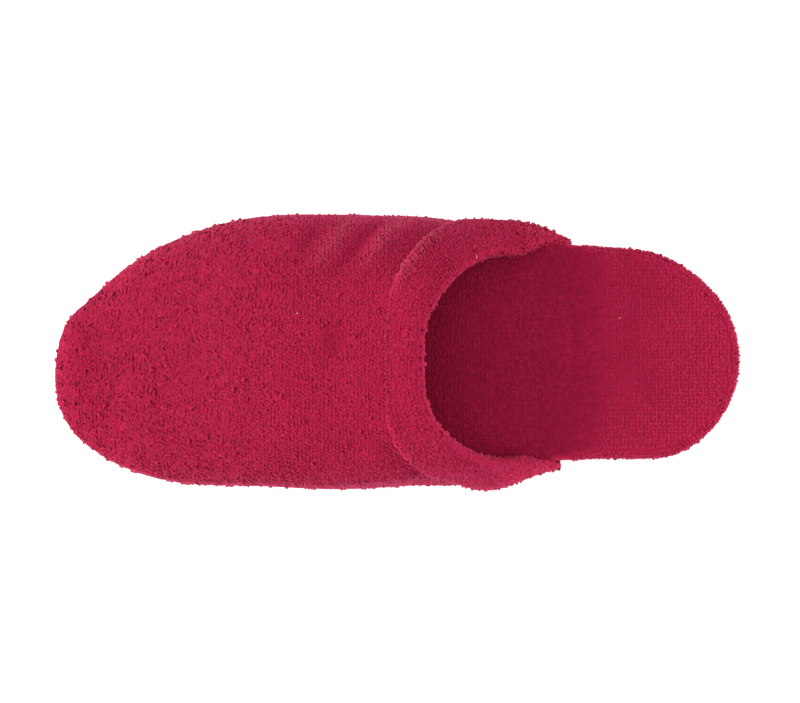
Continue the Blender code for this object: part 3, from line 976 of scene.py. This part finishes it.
class Graph:
    """One material and its nodes."""

    def __init__(self, name: str, constants: dict[str, object]) -> None:
        """Makes a new material with a Principled shader.

        Args:
            name: the material's name.
            constants: what the shader's inputs are set to.
        """
        self.material = bpy.data.materials.new(name)
        self.material.use_nodes = True
        self.tree = self.material.node_tree
        self.shader = self.tree.nodes["Principled BSDF"]
        for key, value in constants.items():
            self.feed(self.shader.inputs[key], value)

    def node(self, kind: str, settings: dict, inputs: dict) -> bpy.types.Node:
        """Adds a node.

        Args:
            kind: its type.
            settings: its own settings, by name.
            inputs: constants or links of its inputs.

        Returns:
            The node.
        """
        made = self.tree.nodes.new(kind)
        for key, value in settings.items():
            setattr(made, key, value)
        for key, value in inputs.items():
            self.feed(made.inputs[key], value)
        return made

    def value(self, kind: str, settings: dict, inputs: dict, output: str | int = 0) -> Value:
        """A node's output as a number."""
        return Value(self, self.node(kind, settings, inputs).outputs[output])

    def feed(self, socket: bpy.types.NodeSocket, value: object) -> None:
        """Links or sets an input.

        Args:
            socket: the input.
            value: a socket, a Value or a constant.
        """
        if isinstance(value, Value):
            value = value.socket
        if isinstance(value, bpy.types.NodeSocket):
            self.tree.links.new(value, socket)
        else:
            socket.default_value = value

    def noise(self, scale: float, detail: float, warp: float = 0.0) -> Value:
        """Adds a noise texture over the object's coordinates.

        Args:
            scale: its repeats in a metre.
            detail: octaves of finer noise.
            warp: how far it is distorted.

        Returns:
            The noise, 0 to 1.
        """
        place = self.node("ShaderNodeTexCoord", {}, {}).outputs["Object"]
        inputs = {"Vector": place, "Scale": scale, "Detail": detail, "Distortion": warp}
        return self.value("ShaderNodeTexNoise", {}, inputs)

    def attribute(self, name: str) -> Value:
        """A number kept on the mesh."""
        return self.value("ShaderNodeAttribute", {"attribute_name": name}, {}, "Fac")

    def mix(self, share: Value, low: object, high: object) -> bpy.types.NodeSocket:
        """A colour between two, each a socket or three numbers."""
        low, high = ((*end, 1.0) if isinstance(end, tuple) else end for end in (low, high))
        return self.node("ShaderNodeMix", {"data_type": "RGBA"}, {0: share, 6: low, 7: high}).outputs[2]

    def bump(self, height: Value, distance: float) -> None:
        """Feeds a bump into the shader's normal."""
        made = self.node("ShaderNodeBump", {}, {"Height": height, "Distance": distance, "Strength": 1.0})
        self.feed(self.shader.inputs["Normal"], made.outputs[0])


class Grain(NamedTuple):
    """Share of broad patches in a cloth's tone, then scale, detail, warp and bump of its grain."""

    patches: float
    scale: float = 0.0
    detail: float = 0.0
    warp: float = 0.0
    bump: float = 0.0


class Weave(Enum):
    """How a cloth is made, which decides its grain."""

    GROUND = Grain(0.4, 700.0, 3.0, 0.6, 0.0006)
    PILE = Grain(0.25)
    RUBBER = Grain(0.5, 900.0, 4.0, 0.0, 0.0002)


@dataclass(frozen=True)
class Finish:
    """One finish: colours, gloss and grain, for the slot that it belongs to."""

    name: str
    slot: str
    dark: Colour
    light: Colour
    weave: Weave
    roughness: float = 0.95
    sheen: float = 0.0
    depth: float = 0.0
    sheen_roughness: float = 0.5
    specular: float = 0.22
    depth_radius: Colour = (1.0, 0.25, 0.35)
    depth_scale: float = 0.0015
    patch_noise: tuple[float, float] = (45.0, 3.0)
    contrast: tuple[float, float] = (0.1, 0.9)
    # pale colour of the painted highlight on the pile's ridges
    painted_highlight: Colour = (0.66, 0.14, 0.22)
    cache: dict = field(default_factory=dict, compare=False)

    @property
    def material(self) -> bpy.types.Material:
        """Makes the material at first use.

        Returns:
            The finish as a material.
        """
        if "made" not in self.cache:
            self.cache["made"] = self.make()
        return self.cache["made"]

    def dress(self, piece: Piece) -> Piece:
        """Ties a piece to its body.

        Args:
            piece: what has this finish.

        Returns:
            The same piece.
        """
        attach(piece, ROOT)
        return piece

    def make(self) -> bpy.types.Material:
        """Builds the nodes.

        Returns:
            The material.
        """
        graph = Graph(self.name, {
            "Roughness": self.roughness, "Sheen Weight": self.sheen,
            "Sheen Roughness": self.sheen_roughness, "Specular IOR Level": self.specular,
            "Subsurface Weight": self.depth, "Subsurface Radius": self.depth_radius,
            "Subsurface Scale": self.depth_scale})
        weave = self.weave.value
        if self.weave is Weave.PILE:
            grain = graph.attribute("tone")
        else:
            grain = graph.noise(weave.scale, weave.detail, weave.warp)
            graph.bump(grain, weave.bump)
        tone = weave.patches * graph.noise(*self.patch_noise) + (1 - weave.patches) * grain
        colour = graph.mix(tone.step(*self.contrast), self.dark, self.light)
        # The pile is paled towards the painted highlight's colour where its loops carry it
        if self.weave is Weave.PILE:
            colour = graph.mix(graph.attribute("painted_highlight"), colour, self.painted_highlight)
        graph.feed(graph.shader.inputs["Base Color"], colour)
        return graph.material


@dataclass
class Loop:
    """One loop of terry yarn, standing on the ground cloth."""

    span: float = 0.00100
    height: float = 0.0011
    yarn: float = 0.00050
    sides: int = 3
    bends: int = 3

    def shape(self) -> tuple[Array, Array]:
        """Spins the yarn's section over from one foot to the other.

        Returns:
            Vertices and quads of the loop, its feet on the ground at the origin.
        """
        body = bmesh.new()
        ring = bmesh.ops.create_circle(body, segments=self.sides, radius=self.yarn)
        bmesh.ops.translate(body, verts=ring["verts"], vec=(self.span / 2, 0.0, 0.0))
        bmesh.ops.spin(body, geom=body.verts[:] + body.edges[:], cent=(0, 0, 0), axis=(0, -1, 0),
                       angle=math.pi, steps=self.bends)
        bmesh.ops.recalc_face_normals(body, faces=body.faces)
        body.verts.index_update()
        points = np.array([v.co[:] for v in body.verts])
        faces = np.array([[v.index for v in face.verts] for face in body.faces])
        body.free()
        points[:, 2] *= self.height / (self.span / 2 + self.yarn)
        return points, faces


class Stand(NamedTuple):
    """Where loops stand: roots, normals and the direction that each spans."""

    roots: Array
    normals: Array
    along: Array

    def keep(self, chosen: Array) -> "Stand":
        """Only the chosen loops."""
        return Stand(*(part[chosen] for part in self))

    @staticmethod
    def facing(roots: Array, normals: Array, way: tuple[float, float, float]) -> "Stand":
        """Loops that all span one way."""
        return Stand(roots, normals, np.tile(way, (len(roots), 1)))

    @staticmethod
    def join(*stands: "Stand") -> "Stand":
        """Several stands as one."""
        return Stand(*(np.concatenate(parts) for parts in zip(*stands)))


@dataclass
class Pile:
    """A stretch of terry pile: one joined mesh of loops."""

    name: str
    finish: Finish
    loop: Loop
    seed: int
    sway: float = 0.32
    twist: float = 0.40
    second: float = math.pi / 2
    offset: float = 0.0001
    jitter: float = 0.00018
    spread: float = 0.22
    sink: float = 0.0004
    softness: float = 2.5
    stray: float = 0.12
    stretch: float = 1.6
    tone: tuple[float, float] = (0.5, 0.07)

    def build(self, stand: Stand, lean: Array | float = 0.0, scale: Array | float = 1.0,
              shade: Array | float = 0.0, painted_highlight: Array | float = 0.0) -> Piece:
        """Repeats the loop over the stand, twice at each place, the second time across the first.

        Args:
            stand: where the loops stand.
            lean: sideways lean of each loop, as a vector in shares of its height.
            scale: size of each loop.
            shade: painted light and shade, as brightness added to each loop's tone.
            painted_highlight: how far each loop is paled by a painted highlight.

        Returns:
            The piece.
        """
        chance = np.random.default_rng(self.seed)
        plain = np.zeros(len(stand.roots))
        scale, shade, painted_highlight = (np.repeat(plain + part, 2) for part in (scale, shade, painted_highlight))
        lean = np.repeat(plain[:, None] + lean, 2, axis=0)
        count = 2 * len(plain)
        crossed = np.arange(count)[:, None] % 2
        stand = stand.keep(np.arange(count) // 2)
        points, faces = self.loop.shape()
        normal = unit(stand.normals)
        along = unit(stand.along - (stand.along * normal).sum(axis=1, keepdims=True) * normal)
        beside = np.cross(normal, along)
        angle = chance.normal(0.0, self.twist, (count, 1)) + self.second * crossed
        first = np.cos(angle) * along + np.sin(angle) * beside
        second = np.cos(angle) * beside - np.sin(angle) * along
        sway = chance.normal(0.0, self.sway, (count, 2))
        up = normal + sway[:, :1] * along + sway[:, 1:] * beside + lean
        size = (1 + self.spread * chance.uniform(-1, 1, (count, 1))) * scale[:, None]
        shift = chance.normal(0.0, self.jitter, (count, 2)) + crossed * self.offset
        roots = stand.roots - self.sink * normal + shift[:, :1] * along + shift[:, 1:] * beside
        tall = np.sqrt(size) * np.where(chance.uniform(size=(count, 1)) < self.stray, self.stretch, 1.0)
        x, y, z = size * points.T[0], size * points.T[1], tall * points.T[2]
        places = (roots[:, None] + x[..., None] * first[:, None] + y[..., None] * second[:, None]
                  + z[..., None] * up[:, None])
        middle, varied = self.tone
        tone = np.clip(middle + varied * chance.normal(size=count), 0.0, 1.0)
        kept = {"tone": np.clip(tone + shade, 0.0, 1.0), "painted_highlight": np.clip(painted_highlight, 0.0, 1.0)}
        return self.mesh(places, faces, kept, normal)

    def mesh(self, places: Array, faces: Array, kept: dict[str, Array], ground: Array) -> Piece:
        """Joins the loops into one mesh with soft normals.

        Args:
            places: vertices of each loop.
            faces: quads of one loop.
            kept: numbers of each loop that its finish reads.
            ground: normal of the cloth under each loop.

        Returns:
            The piece.
        """
        count, corners = places.shape[:2]
        index = faces[None] + corners * np.arange(count)[:, None, None]
        mesh = bpy.data.meshes.new(self.name)
        mesh.vertices.add(count * corners)
        mesh.vertices.foreach_set("co", places.astype(np.float32).ravel())
        mesh.loops.add(index.size)
        mesh.loops.foreach_set("vertex_index", index.astype(np.int32).ravel())
        mesh.polygons.add(count * len(faces))
        mesh.polygons.foreach_set("loop_start", np.arange(0, index.size, 4, dtype=np.int32))
        mesh.update(calc_edges=True)
        mesh.shade_smooth()
        own = np.empty(3 * count * corners, np.float32)
        mesh.vertices.foreach_get("normal", own)
        soft = unit(own.reshape(-1, 3) + self.softness * np.repeat(ground, corners, axis=0))
        mesh.normals_split_custom_set_from_vertices(soft)
        for name, values in kept.items():
            layer = mesh.attributes.new(name, "FLOAT", "POINT")
            layer.data.foreach_set("value", np.repeat(values, corners).astype(np.float32))
        self.layout(mesh, count, len(faces))
        return self.finish.dress(show(self.name, mesh, self.finish.material))

    @staticmethod
    def layout(mesh: bpy.types.Mesh, count: int, faces: int) -> None:
        """Gives each face of each loop a square of its own in the map for baking.

        Args:
            mesh: the joined mesh.
            count: number of loops.
            faces: number of faces in one loop.
        """
        cells, parts = math.ceil(math.sqrt(count)), math.ceil(math.sqrt(faces))
        loop, face = np.divmod(np.arange(count * faces), faces)
        corner = np.array([(0.1, 0.1), (0.9, 0.1), (0.9, 0.9), (0.1, 0.9)])
        cell, part = (np.stack(np.divmod(which, row), axis=1)[:, None]
                      for which, row in ((loop, cells), (face, parts)))
        uv = (cell + (part + corner[None]) / parts) / cells
        mesh.uv_layers.new(name="OFBake").data.foreach_set("uv", uv.astype(np.float32).ravel())


def drape(piece: Piece, plan: Array) -> tuple[Array, Array]:
    """Drops places seen from above onto a piece.

    Args:
        piece: what they land on.
        plan: X and Y of each place.

    Returns:
        Points and normals of the places that find the piece.
    """
    tree = BVHTree.FromPolygons([v.co[:] for v in piece.data.vertices],
                                [face.vertices[:] for face in piece.data.polygons])
    hits = (tree.ray_cast(Vector((*place, 1.0)), Vector((0.0, 0.0, -1.0))) for place in plan)
    found = [(point[:], normal[:] if normal.z > 0 else (-normal)[:])
             for point, normal, _, _ in hits if point is not None]
    points, normals = zip(*found)
    return np.array(points), np.array(normals)


def inside(plan: Array, outline: Array) -> Array:
    """Finds the places inside a closed outline by counting its crossings.

    Args:
        plan: X and Y of each place.
        outline: X and Y of its corners.

    Returns:
        Whether each place is inside.
    """
    x, y = plan.T[..., None]
    (first_x, first_y), (last_x, last_y) = outline.T, np.roll(outline, -1, axis=0).T
    crosses = (first_y > y) != (last_y > y)
    rise = np.where(last_y == first_y, TINY, last_y - first_y)
    meet = first_x + (y - first_y) / rise * (last_x - first_x)
    return (crosses & (x < meet)).sum(axis=1) % 2 == 1


def along_curve(points: Array, normals: Array, pitch: float, start: float = 0.0) -> Stand:
    """Sets loops at an even pitch along a curve, each spanning it.

    Args:
        points: the curve.
        normals: the cloth's normals along it.
        pitch: from loop to loop.
        start: where the first one stands, in shares of the pitch.

    Returns:
        The loops.
    """
    reach = travel(points)
    at = np.arange(start * pitch, reach[-1], pitch)
    ahead, behind = (resample(at + step, reach, points) for step in (pitch, -pitch))
    return Stand(resample(at, reach, points), unit(resample(at, reach, normals)), unit(ahead - behind))


@dataclass
class Terry:
    """Lays the loops over every piece that is covered in terry."""

    last: Last
    pitch: float = 0.00155
    row_pitch: float = 0.00165
    bed_inset: float = 0.004
    bed_front: float = 0.052
    tucked_inset: float = -0.0010
    edge_first: float = 0.0009
    edge_under: float = 0.020
    edge_level: float = 0.3
    outline_steps: tuple[int, int] = (240, 400)
    dome_tip: float = 1e-4
    dome_end: float = 0.76
    dome_steps: tuple[int, int] = (1500, 700)
    nudge: float = 1e-5
    steep: float = 0.35
    skirt: tuple[float, float] = (0.0004, 0.050)
    shag: tuple[float, float] = (0.020, 0.080)
    tuft: float = 0.0042
    tuft_pull: float = 0.30
    tuft_middles: tuple[float, float] = (0.08, 0.92)
    tuft_waver: float = 0.25
    # Painted light on each tuft's middle, and how fast it falls off towards the clefts
    tuft_shade: tuple[float, float] = (0.20, 0.30)
    tuft_size: tuple[float, float] = (0.5, 0.45)
    band_end: float = 0.999
    sound: int = 6
    end_proud: float = 0.0002
    overlap: float = 0.0003
    seam_dip: float = 0.5
    # Painted light and shade on the footbed's pile: paler towards the heel's back; a painted shadow inside
    # the opening from the middle of the heel forward, half as deep further forward
    bed_shade: tuple[Fade, ...] = (Fade(0.50, -0.095, -0.138), Fade(-0.50, -0.090, -0.076),
                                   Fade(0.25, -0.045, -0.020))
    # A painted pool of light on the medial side of the heel: how it sets in across the foot, and along it
    bed_light_patch: tuple[Fade, Fade] = (Fade(0.30, -0.012, -0.038), Fade(1.0, -0.060, -0.080))
    # Painted light: a paler pile round the padded edge, and a little paler on the band
    edge_shade: float = 0.30
    band_shade: float = 0.05
    band_size: tuple[Fade, ...] = (Fade(0.5, -0.045, -0.062), Fade(0.25, -0.030, -0.010))
    # Painted shade at the tip of the toe
    toe_shade: tuple[Fade, ...] = (Fade(-0.35, 0.108, 0.130),)

    def margin(self, turned: Array, side: Side) -> Array:
        """Inset of the line where the rows round the edge give way to the rows across the bed."""
        return self.bed_inset + self.last.tucked(turned, side) * (self.tucked_inset - self.bed_inset)

    def bed(self, insole: Piece) -> Stand:
        """Loops on the footbed, in rows across the foot.

        Args:
            insole: what they stand on.

        Returns:
            The loops.
        """
        reach = self.last.toe_y
        rows = np.arange(-reach, self.bed_front, self.pitch)
        columns = np.arange(-reach / 2, reach / 2, self.pitch)
        plan = np.stack(np.meshgrid(columns, rows), axis=-1).reshape(-1, 2)
        turned = np.linspace(0.0, 1.0, self.outline_steps[0])
        sides = [self.last.sole_edge(turned, side, -self.margin(turned, side)) for side in Side]
        plan = plan[inside(plan, np.concatenate([sides[0], sides[1][::-1]]))]
        return Stand.facing(*drape(insole, plan), ACROSS)

    def side(self, padding: Padding) -> Stand:
        """Loops round the padded edge behind the upper, in rows along it.

        Args:
            padding: the built layers.

        Returns:
            The loops.
        """
        last = self.last
        sheet = Sheet(np.concatenate([padding.side, padding.side[:1]]), flip=True)
        heights = np.arange(self.edge_first, sheet.across.max(), self.row_pitch)
        stand = Stand.join(*(along_curve(*sheet.trace(np.full(len(sheet.points), height)), self.pitch)
                             for height in heights))
        x, y = stand.roots.T[:2]
        ends = np.where(x > 0, *(last.toe_y - last.end_along(side) * last.length for side in Side))
        ends = np.where(stand.normals[:, 2] > self.edge_level, self.bed_front, ends + self.edge_under)
        turned = np.linspace(0.0, 1.0, self.outline_steps[1])
        edge = np.concatenate([last.sole_edge(turned, side) for side in Side])
        away = np.linalg.norm(stand.roots[:, None, :2] - edge[None], axis=2).min(axis=1)
        place = turn(last.sole_along(y))
        margin = np.where(x > 0, *(self.margin(place, side) for side in Side))
        return stand.keep((y < ends) & (away < margin))

    def dome(self, vamp: Vamp, piece: Piece) -> Stand:
        """Loops over the vamp ahead of the band, in rows across it.

        Args:
            vamp: the upper's grid.
            piece: the upper.

        Returns:
            The loops.
        """
        last = self.last
        crest_steps, row_steps = self.dome_steps
        ys = np.linspace(last.toe_y - self.dome_tip, last.toe_y - self.dome_end * last.length, crest_steps)
        heights = last.arch_height(last.crest_line(last.turned(ys)), ys)
        reach = travel(np.stack([ys, heights], axis=1))
        distance = (vamp.widths - self.overlap)[:, None]
        front = vamp.place(distance, 0 * distance)[:, 0, :2]
        throat = np.interp(-front[len(front) // 2, 1], -ys, reach)
        plan = []
        for k, y in enumerate(np.interp(np.arange(throat % self.pitch, reach[-1], self.pitch), reach, ys)):
            turned = last.turned(y)
            most, least = (last.flare(turned, side) for side in Side)
            xs = np.linspace(least + self.nudge, most - self.nudge, row_steps)
            across = travel(np.stack([xs, last.arch_height(xs, np.full_like(xs, y))], axis=1))
            middle = np.interp(last.crest_line(turned), xs, across)
            first = (middle + self.pitch / 2 * (k % 2)) % self.pitch
            x = np.interp(np.arange(first, across[-1], self.pitch), across, xs)
            plan.append(np.stack([x, np.full_like(x, y)], axis=1))
        plan = np.concatenate(plan)
        outline = [last.swelled_edge(np.array(abs(line) * last.end_turn(side)), side)
                   for line in vamp.lines for side in Side if line * side.value < 0 or line == 0]
        plan = plan[inside(plan, np.concatenate([front, outline[::-1]]))]
        slopes = ((last.arch_height(*(plan + step).T) - last.arch_height(*(plan - step).T)) / self.nudge / 2
                  for step in self.nudge * np.eye(2))
        flatness = 1 / np.sqrt(sum((slope ** 2 for slope in slopes), 1.0))
        crown = Stand.facing(*drape(piece, plan[flatness > self.steep]), ACROSS)
        return Stand.join(crown, *self.sides(vamp))

    def sides(self, vamp: Vamp) -> list[Stand]:
        """Rows of loops up the vamp's steep sides from its feather edge.

        Args:
            vamp: the upper's grid.

        Returns:
            One stand for each row.
        """
        stands = []
        for k, up in enumerate(np.arange(*self.skirt, self.pitch)):
            points, normals = vamp.row(vamp.lengths - up, 1.0)
            row = along_curve(points, normals, self.pitch, 0.5 * (k % 2))
            at = np.linalg.norm(row.roots[:, None] - points[None], axis=2).argmin(axis=1)
            clear = vamp.lengths[at] - up > vamp.widths[at] - self.overlap
            stands.append(row.keep(clear & (row.normals[:, 2] <= self.steep)))
        return stands

    def band(self, hem: Hem) -> Stand:
        """Loops over the band, in rows along the collar's edge, over the rim and down inside.

        Args:
            hem: the built band.

        Returns:
            The loops.
        """
        sheet = hem.cover
        outer = sheet.across[:, hem.apex]
        inner = sheet.across[:, -1] - outer
        short_of_end = np.abs(hem.vamp.lines) < self.band_end
        stands = []
        for k in range(-int(outer.max() / self.row_pitch) - 1, int(inner.max() / self.row_pitch) + 1):
            far = k * self.row_pitch
            points, normals = sheet.trace(far + outer)
            held = np.flatnonzero((far > -outer) & (far < inner) & short_of_end)
            for part in np.split(held, np.flatnonzero(np.diff(held) > 1) + 1):
                if len(part) > 2:
                    stands.append(along_curve(points[part], normals[part], self.pitch))
        return Stand.join(*stands)

    def seam(self, vamp: Vamp) -> Stand:
        """Loops along the line where the band's front meets the vamp."""
        return along_curve(*vamp.row(vamp.widths - self.last.gap, self.seam_dip), self.pitch)

    def ends(self, vamp: Vamp) -> Stand:
        """Loops over the two ends of the band, where it meets the sole.

        Args:
            vamp: the upper's grid.

        Returns:
            The loops.
        """
        down = np.arange(self.pitch / 2, vamp.lengths[[0, -1]].max(), self.pitch)
        deep = np.arange(self.pitch / 2, self.last.wall, self.pitch)
        distance, depth = (grid.ravel() + 0 * vamp.lines[:, None] for grid in np.meshgrid(down, deep))
        points = vamp.place(distance, depth)
        stands = []
        for end, beside in ((0, self.sound), (-1, -1 - self.sound)):
            held = distance[end] < vamp.lengths[end]
            out = unit(points[end] - points[beside])[held]
            stands.append(Stand.facing(points[end][held] + self.end_proud * out, out, (0.0, 0.0, 1.0)))
        return Stand.join(*stands)

    def tufts(self, stand: Stand, seed: int) -> tuple[Array, Array, Array]:
        """Draws the loops together into tufts towards the toe.

        Args:
            stand: the vamp's loops.
            seed: of the tufts' places.

        Returns:
            Lean, size and painted light and shade of each loop: painted light on the tufts' middles, less
            towards the clefts between them.
        """
        chance = np.random.default_rng(seed)
        places = (stand.roots - stand.roots.min(axis=0)) / self.tuft + 1
        cells = places.astype(int)
        counts = cells.max(axis=0) + 2
        centres = chance.uniform(*self.tuft_middles, (*counts, 3))
        ways = chance.normal(0.0, self.tuft_waver, (*counts, 3))
        around = np.stack(np.meshgrid(*[(-1, 0, 1)] * 3), axis=-1).reshape(-1, 3)
        nearby = cells[:, None] + around[None]
        apart = nearby + centres[tuple(np.moveaxis(nearby, -1, 0))] - places[:, None]
        nearest = np.linalg.norm(apart, axis=2).argmin(axis=1)
        rows = np.arange(len(apart))
        pull, way = apart[rows, nearest], ways[tuple(nearby[rows, nearest].T)]
        shag = ramp(stand.roots[:, 1], *self.shag)
        lean = 2 * self.tuft_pull * pull + way
        lean -= (lean * stand.normals).sum(axis=1, keepdims=True) * stand.normals
        away = np.linalg.norm(pull, axis=1)
        # Painted light on each tuft's middle, less towards the clefts between tufts
        (bright, fall), (growth, near) = self.tuft_shade, self.tuft_size
        size = 1 + shag * (growth * (1 + (near - away)))
        return shag[:, None] * lean, size, shag * (bright - fall * away)

    def build(self, pile: dict[str, Finish], upper: Piece, hem: Hem, padding: Padding,
              insole: Piece) -> None:
        """Lays all the pile.

        Args:
            pile: finish of the loops in each slot.
            upper: the vamp's ground.
            hem: the built band.
            padding: the built layers.
            insole: the footbed's ground.
        """
        vamp, loop = hem.vamp, Loop()
        bed = self.bed(insole)
        x, y = bed.roots.T[:2]
        across, along = self.bed_light_patch
        # Painted light and shade over the footbed's pile
        bright = faded(y, self.bed_shade)
        bright += across.amount * ramp(x, across.start, across.full) * ramp(y, along.start, along.full)
        back = y < np.median(y)
        for name, part, seed in (("bed_pile", back, 11), ("inner_bed_pile", ~back, 15)):
            kept = Pile(name, pile["footbed_terry"], loop, seed, stray=0.0, softness=2.8)
            kept.build(bed.keep(part), shade=bright[part])
        rim = Pile("edge_pile", pile["platform_terry"], loop, seed=12)
        # The edge's pile is paler all round: painted light
        rim.build(self.side(padding), shade=self.edge_shade)
        ribbed = Loop(span=0.00075, yarn=0.00045)
        stand = Stand.join(self.band(hem), self.seam(vamp), self.ends(vamp))
        # The band's pile: painted shade in its troughs, a painted highlight on its ridge and a little
        # painted light over all
        shade, painted_highlight = vamp.crease(stand.roots, hem.folds)
        ragged = faded(stand.roots[:, 1], self.band_size, 1.0)
        band = Pile("band_pile", pile["hem_terry"], ribbed, seed=13, twist=0.15, spread=0.3)
        band.build(stand, scale=ragged, shade=shade + self.band_shade, painted_highlight=painted_highlight)
        dome = self.dome(vamp, upper)
        # Painted light and shade on the vamp's pile: on the tufts, in the troughs and at the tip of the
        # toe, and a painted highlight on the ridges
        lean, size, shade = self.tufts(dome, seed=5)
        creased, painted_highlight = vamp.crease(dome.roots, vamp.folds)
        shade = faded(dome.roots[:, 1], self.toe_shade, shade + creased)
        toe = dome.roots[:, 1] > np.median(dome.roots[:, 1])
        for name, part in (("toe_pile", toe), ("vamp_pile", ~toe)):
            kept = Pile(name, pile["vamp_terry"], loop, seed=14, twist=0.6, softness=4.5, stray=0.05)
            kept.build(dome.keep(part), lean[part], size[part], shade[part], painted_highlight[part])


@dataclass
class Lint:
    """A pale speck of fluff lying on the pile."""

    name: str
    finish: Finish
    place: tuple[float, float]
    stretch: tuple[float, float, float] = (1.0, 1.0, 1.0)
    radius: float = 0.00026
    proud: float = 0.0007

    def build(self, piece: Piece) -> Piece:
        """Makes the speck.

        Args:
            piece: what it lies on.

        Returns:
            The speck.
        """
        points, _ = drape(piece, MM * np.array([self.place]))
        body = bmesh.new()
        speck = bmesh.ops.create_icosphere(body, subdivisions=2, radius=self.radius)
        bmesh.ops.scale(body, verts=speck["verts"], vec=self.stretch)
        bmesh.ops.translate(body, verts=speck["verts"], vec=points[0] + (0.0, 0.0, self.proud))
        return self.finish.dress(show(self.name, body, self.finish.material))


class Lamp(NamedTuple):
    """One soft square lamp aimed at the slipper's middle."""

    name: str
    place: tuple[float, float, float]
    size: float
    power: float
    tint: Colour


@dataclass
class Studio:
    """Floor, lights and the camera that looks straight down as the photo's did."""

    height: float = 1.2
    ground: tuple[float, float] = (-0.0678, -0.001)
    photo_width: float = 800.0
    scale: float = 0.4094 * MM
    scale_height: float = 0.016
    sensor: float = 36.0
    clip_start: float = 0.05
    floor_reach: float = 3.0
    floor_glow: float = 0.6
    sky: Colour = (0.97, 0.97, 1.06)
    sky_strength: float = 0.68
    lamps: tuple[Lamp, ...] = (
        Lamp("key", (-0.10, 1.42, 0.80), 0.7, 18.6, (1.0, 0.98, 0.95)),
        Lamp("heel", (-0.10, -1.55, 0.50), 1.0, 13.0, (1.0, 0.99, 0.98)),
    )

    def floor(self) -> None:
        """White floor."""
        body = bmesh.new()
        bmesh.ops.create_grid(body, x_segments=1, y_segments=1, size=self.floor_reach)
        white = Graph("floor_white", {
            "Base Color": (0.98, 0.98, 0.98, 1.0), "Roughness": 1.0, "Specular IOR Level": 0.0,
            "Emission Color": (1.0, 1.0, 1.0, 1.0), "Emission Strength": self.floor_glow})
        show("floor", body, white.material)

    def lights(self) -> None:
        """Broad lamp from the toe, a weaker one behind the heel, and pale surroundings."""
        for name, place, size, power, tint in self.lamps:
            lamp = bpy.data.lights.new(name, "AREA")
            lamp.size, lamp.energy, lamp.color = size, power, tint
            held = bpy.data.objects.new(name, lamp)
            held.location = place
            held.rotation_euler = (-Vector(place)).to_track_quat("-Z", "Y").to_euler()
            bpy.context.scene.collection.objects.link(held)
        world = bpy.data.worlds.new("surroundings")
        bpy.context.scene.world = world
        world.use_nodes = True
        colour, strength = world.node_tree.nodes["Background"].inputs[:2]
        colour.default_value = (*self.sky, 1.0)
        strength.default_value = self.sky_strength

    def camera(self) -> None:
        """Looks down from over the photo's middle, turned to the one slipper."""
        scene = bpy.context.scene
        lens = bpy.data.cameras.new("camera")
        lens.sensor_width = self.sensor
        sight = Vector((0.0, self.ground[1], self.scale_height)) - Vector((*self.ground, self.height))
        lens.lens = self.sensor * sight.length / (self.photo_width * self.scale)
        lens.clip_start = self.clip_start
        held = bpy.data.objects.new("camera", lens)
        held.location = (*self.ground, self.height)
        held.rotation_euler = (math.atan2(sight.x, -sight.z), 0.0, -math.pi / 2)
        scene.collection.objects.link(held)
        scene.camera = held
        scene.view_settings.view_transform = "Standard"

    def build(self) -> None:
        """All of it."""
        self.floor()
        self.lights()
        self.camera()


def main() -> None:
    """Builds the slipper, its pile and the studio, and reports each piece."""
    logging.basicConfig(level=logging.INFO, format="%(message)s")
    ground = {slot: Finish("ground_" + slot, slot, *PLUM, Weave.GROUND) for slot in TERRY_SLOTS}
    pile = {slot: Finish("pile_" + slot, slot, *BERRY, Weave.PILE, sheen=0.04, depth=0.45)
            for slot in TERRY_SLOTS}
    fluff = {slot: Finish("fluff_" + slot, slot, *FLUFF, Weave.GROUND) for slot in TERRY_SLOTS}
    rubber = Finish("sole_rubber", "non_slip_rubber", *RUBBER, Weave.RUBBER, roughness=0.7)
    last = Last()
    vamp = Vamp(last)
    upper = vamp.build(ground["vamp_terry"])
    hem = Hem(vamp)
    band = hem.build(ground["hem_terry"])
    padding = Padding(last)
    insole, _ = padding.build(ground["footbed_terry"], ground["platform_terry"])
    outsole = frame["nodes"]["outsole"]
    outsole.data.materials.clear()
    outsole.data.materials.append(rubber.material)
    Terry(last).build(pile, upper, hem, padding, insole)
    Lint("speck_front", fluff["vamp_terry"], (13.5, 40.0)).build(upper)
    Lint("speck_back", fluff["footbed_terry"], (13.5, -90.8)).build(insole)
    Lint("thread", fluff["hem_terry"], (36.4, -31.6), (3.2, 0.45, 0.45)).build(band)
    Studio().build()
    for piece in bpy.data.objects:
        if piece.type == "MESH":
            log.info("%s: %d faces", piece.name, len(piece.data.polygons))


if __name__ == "__main__":
    main()
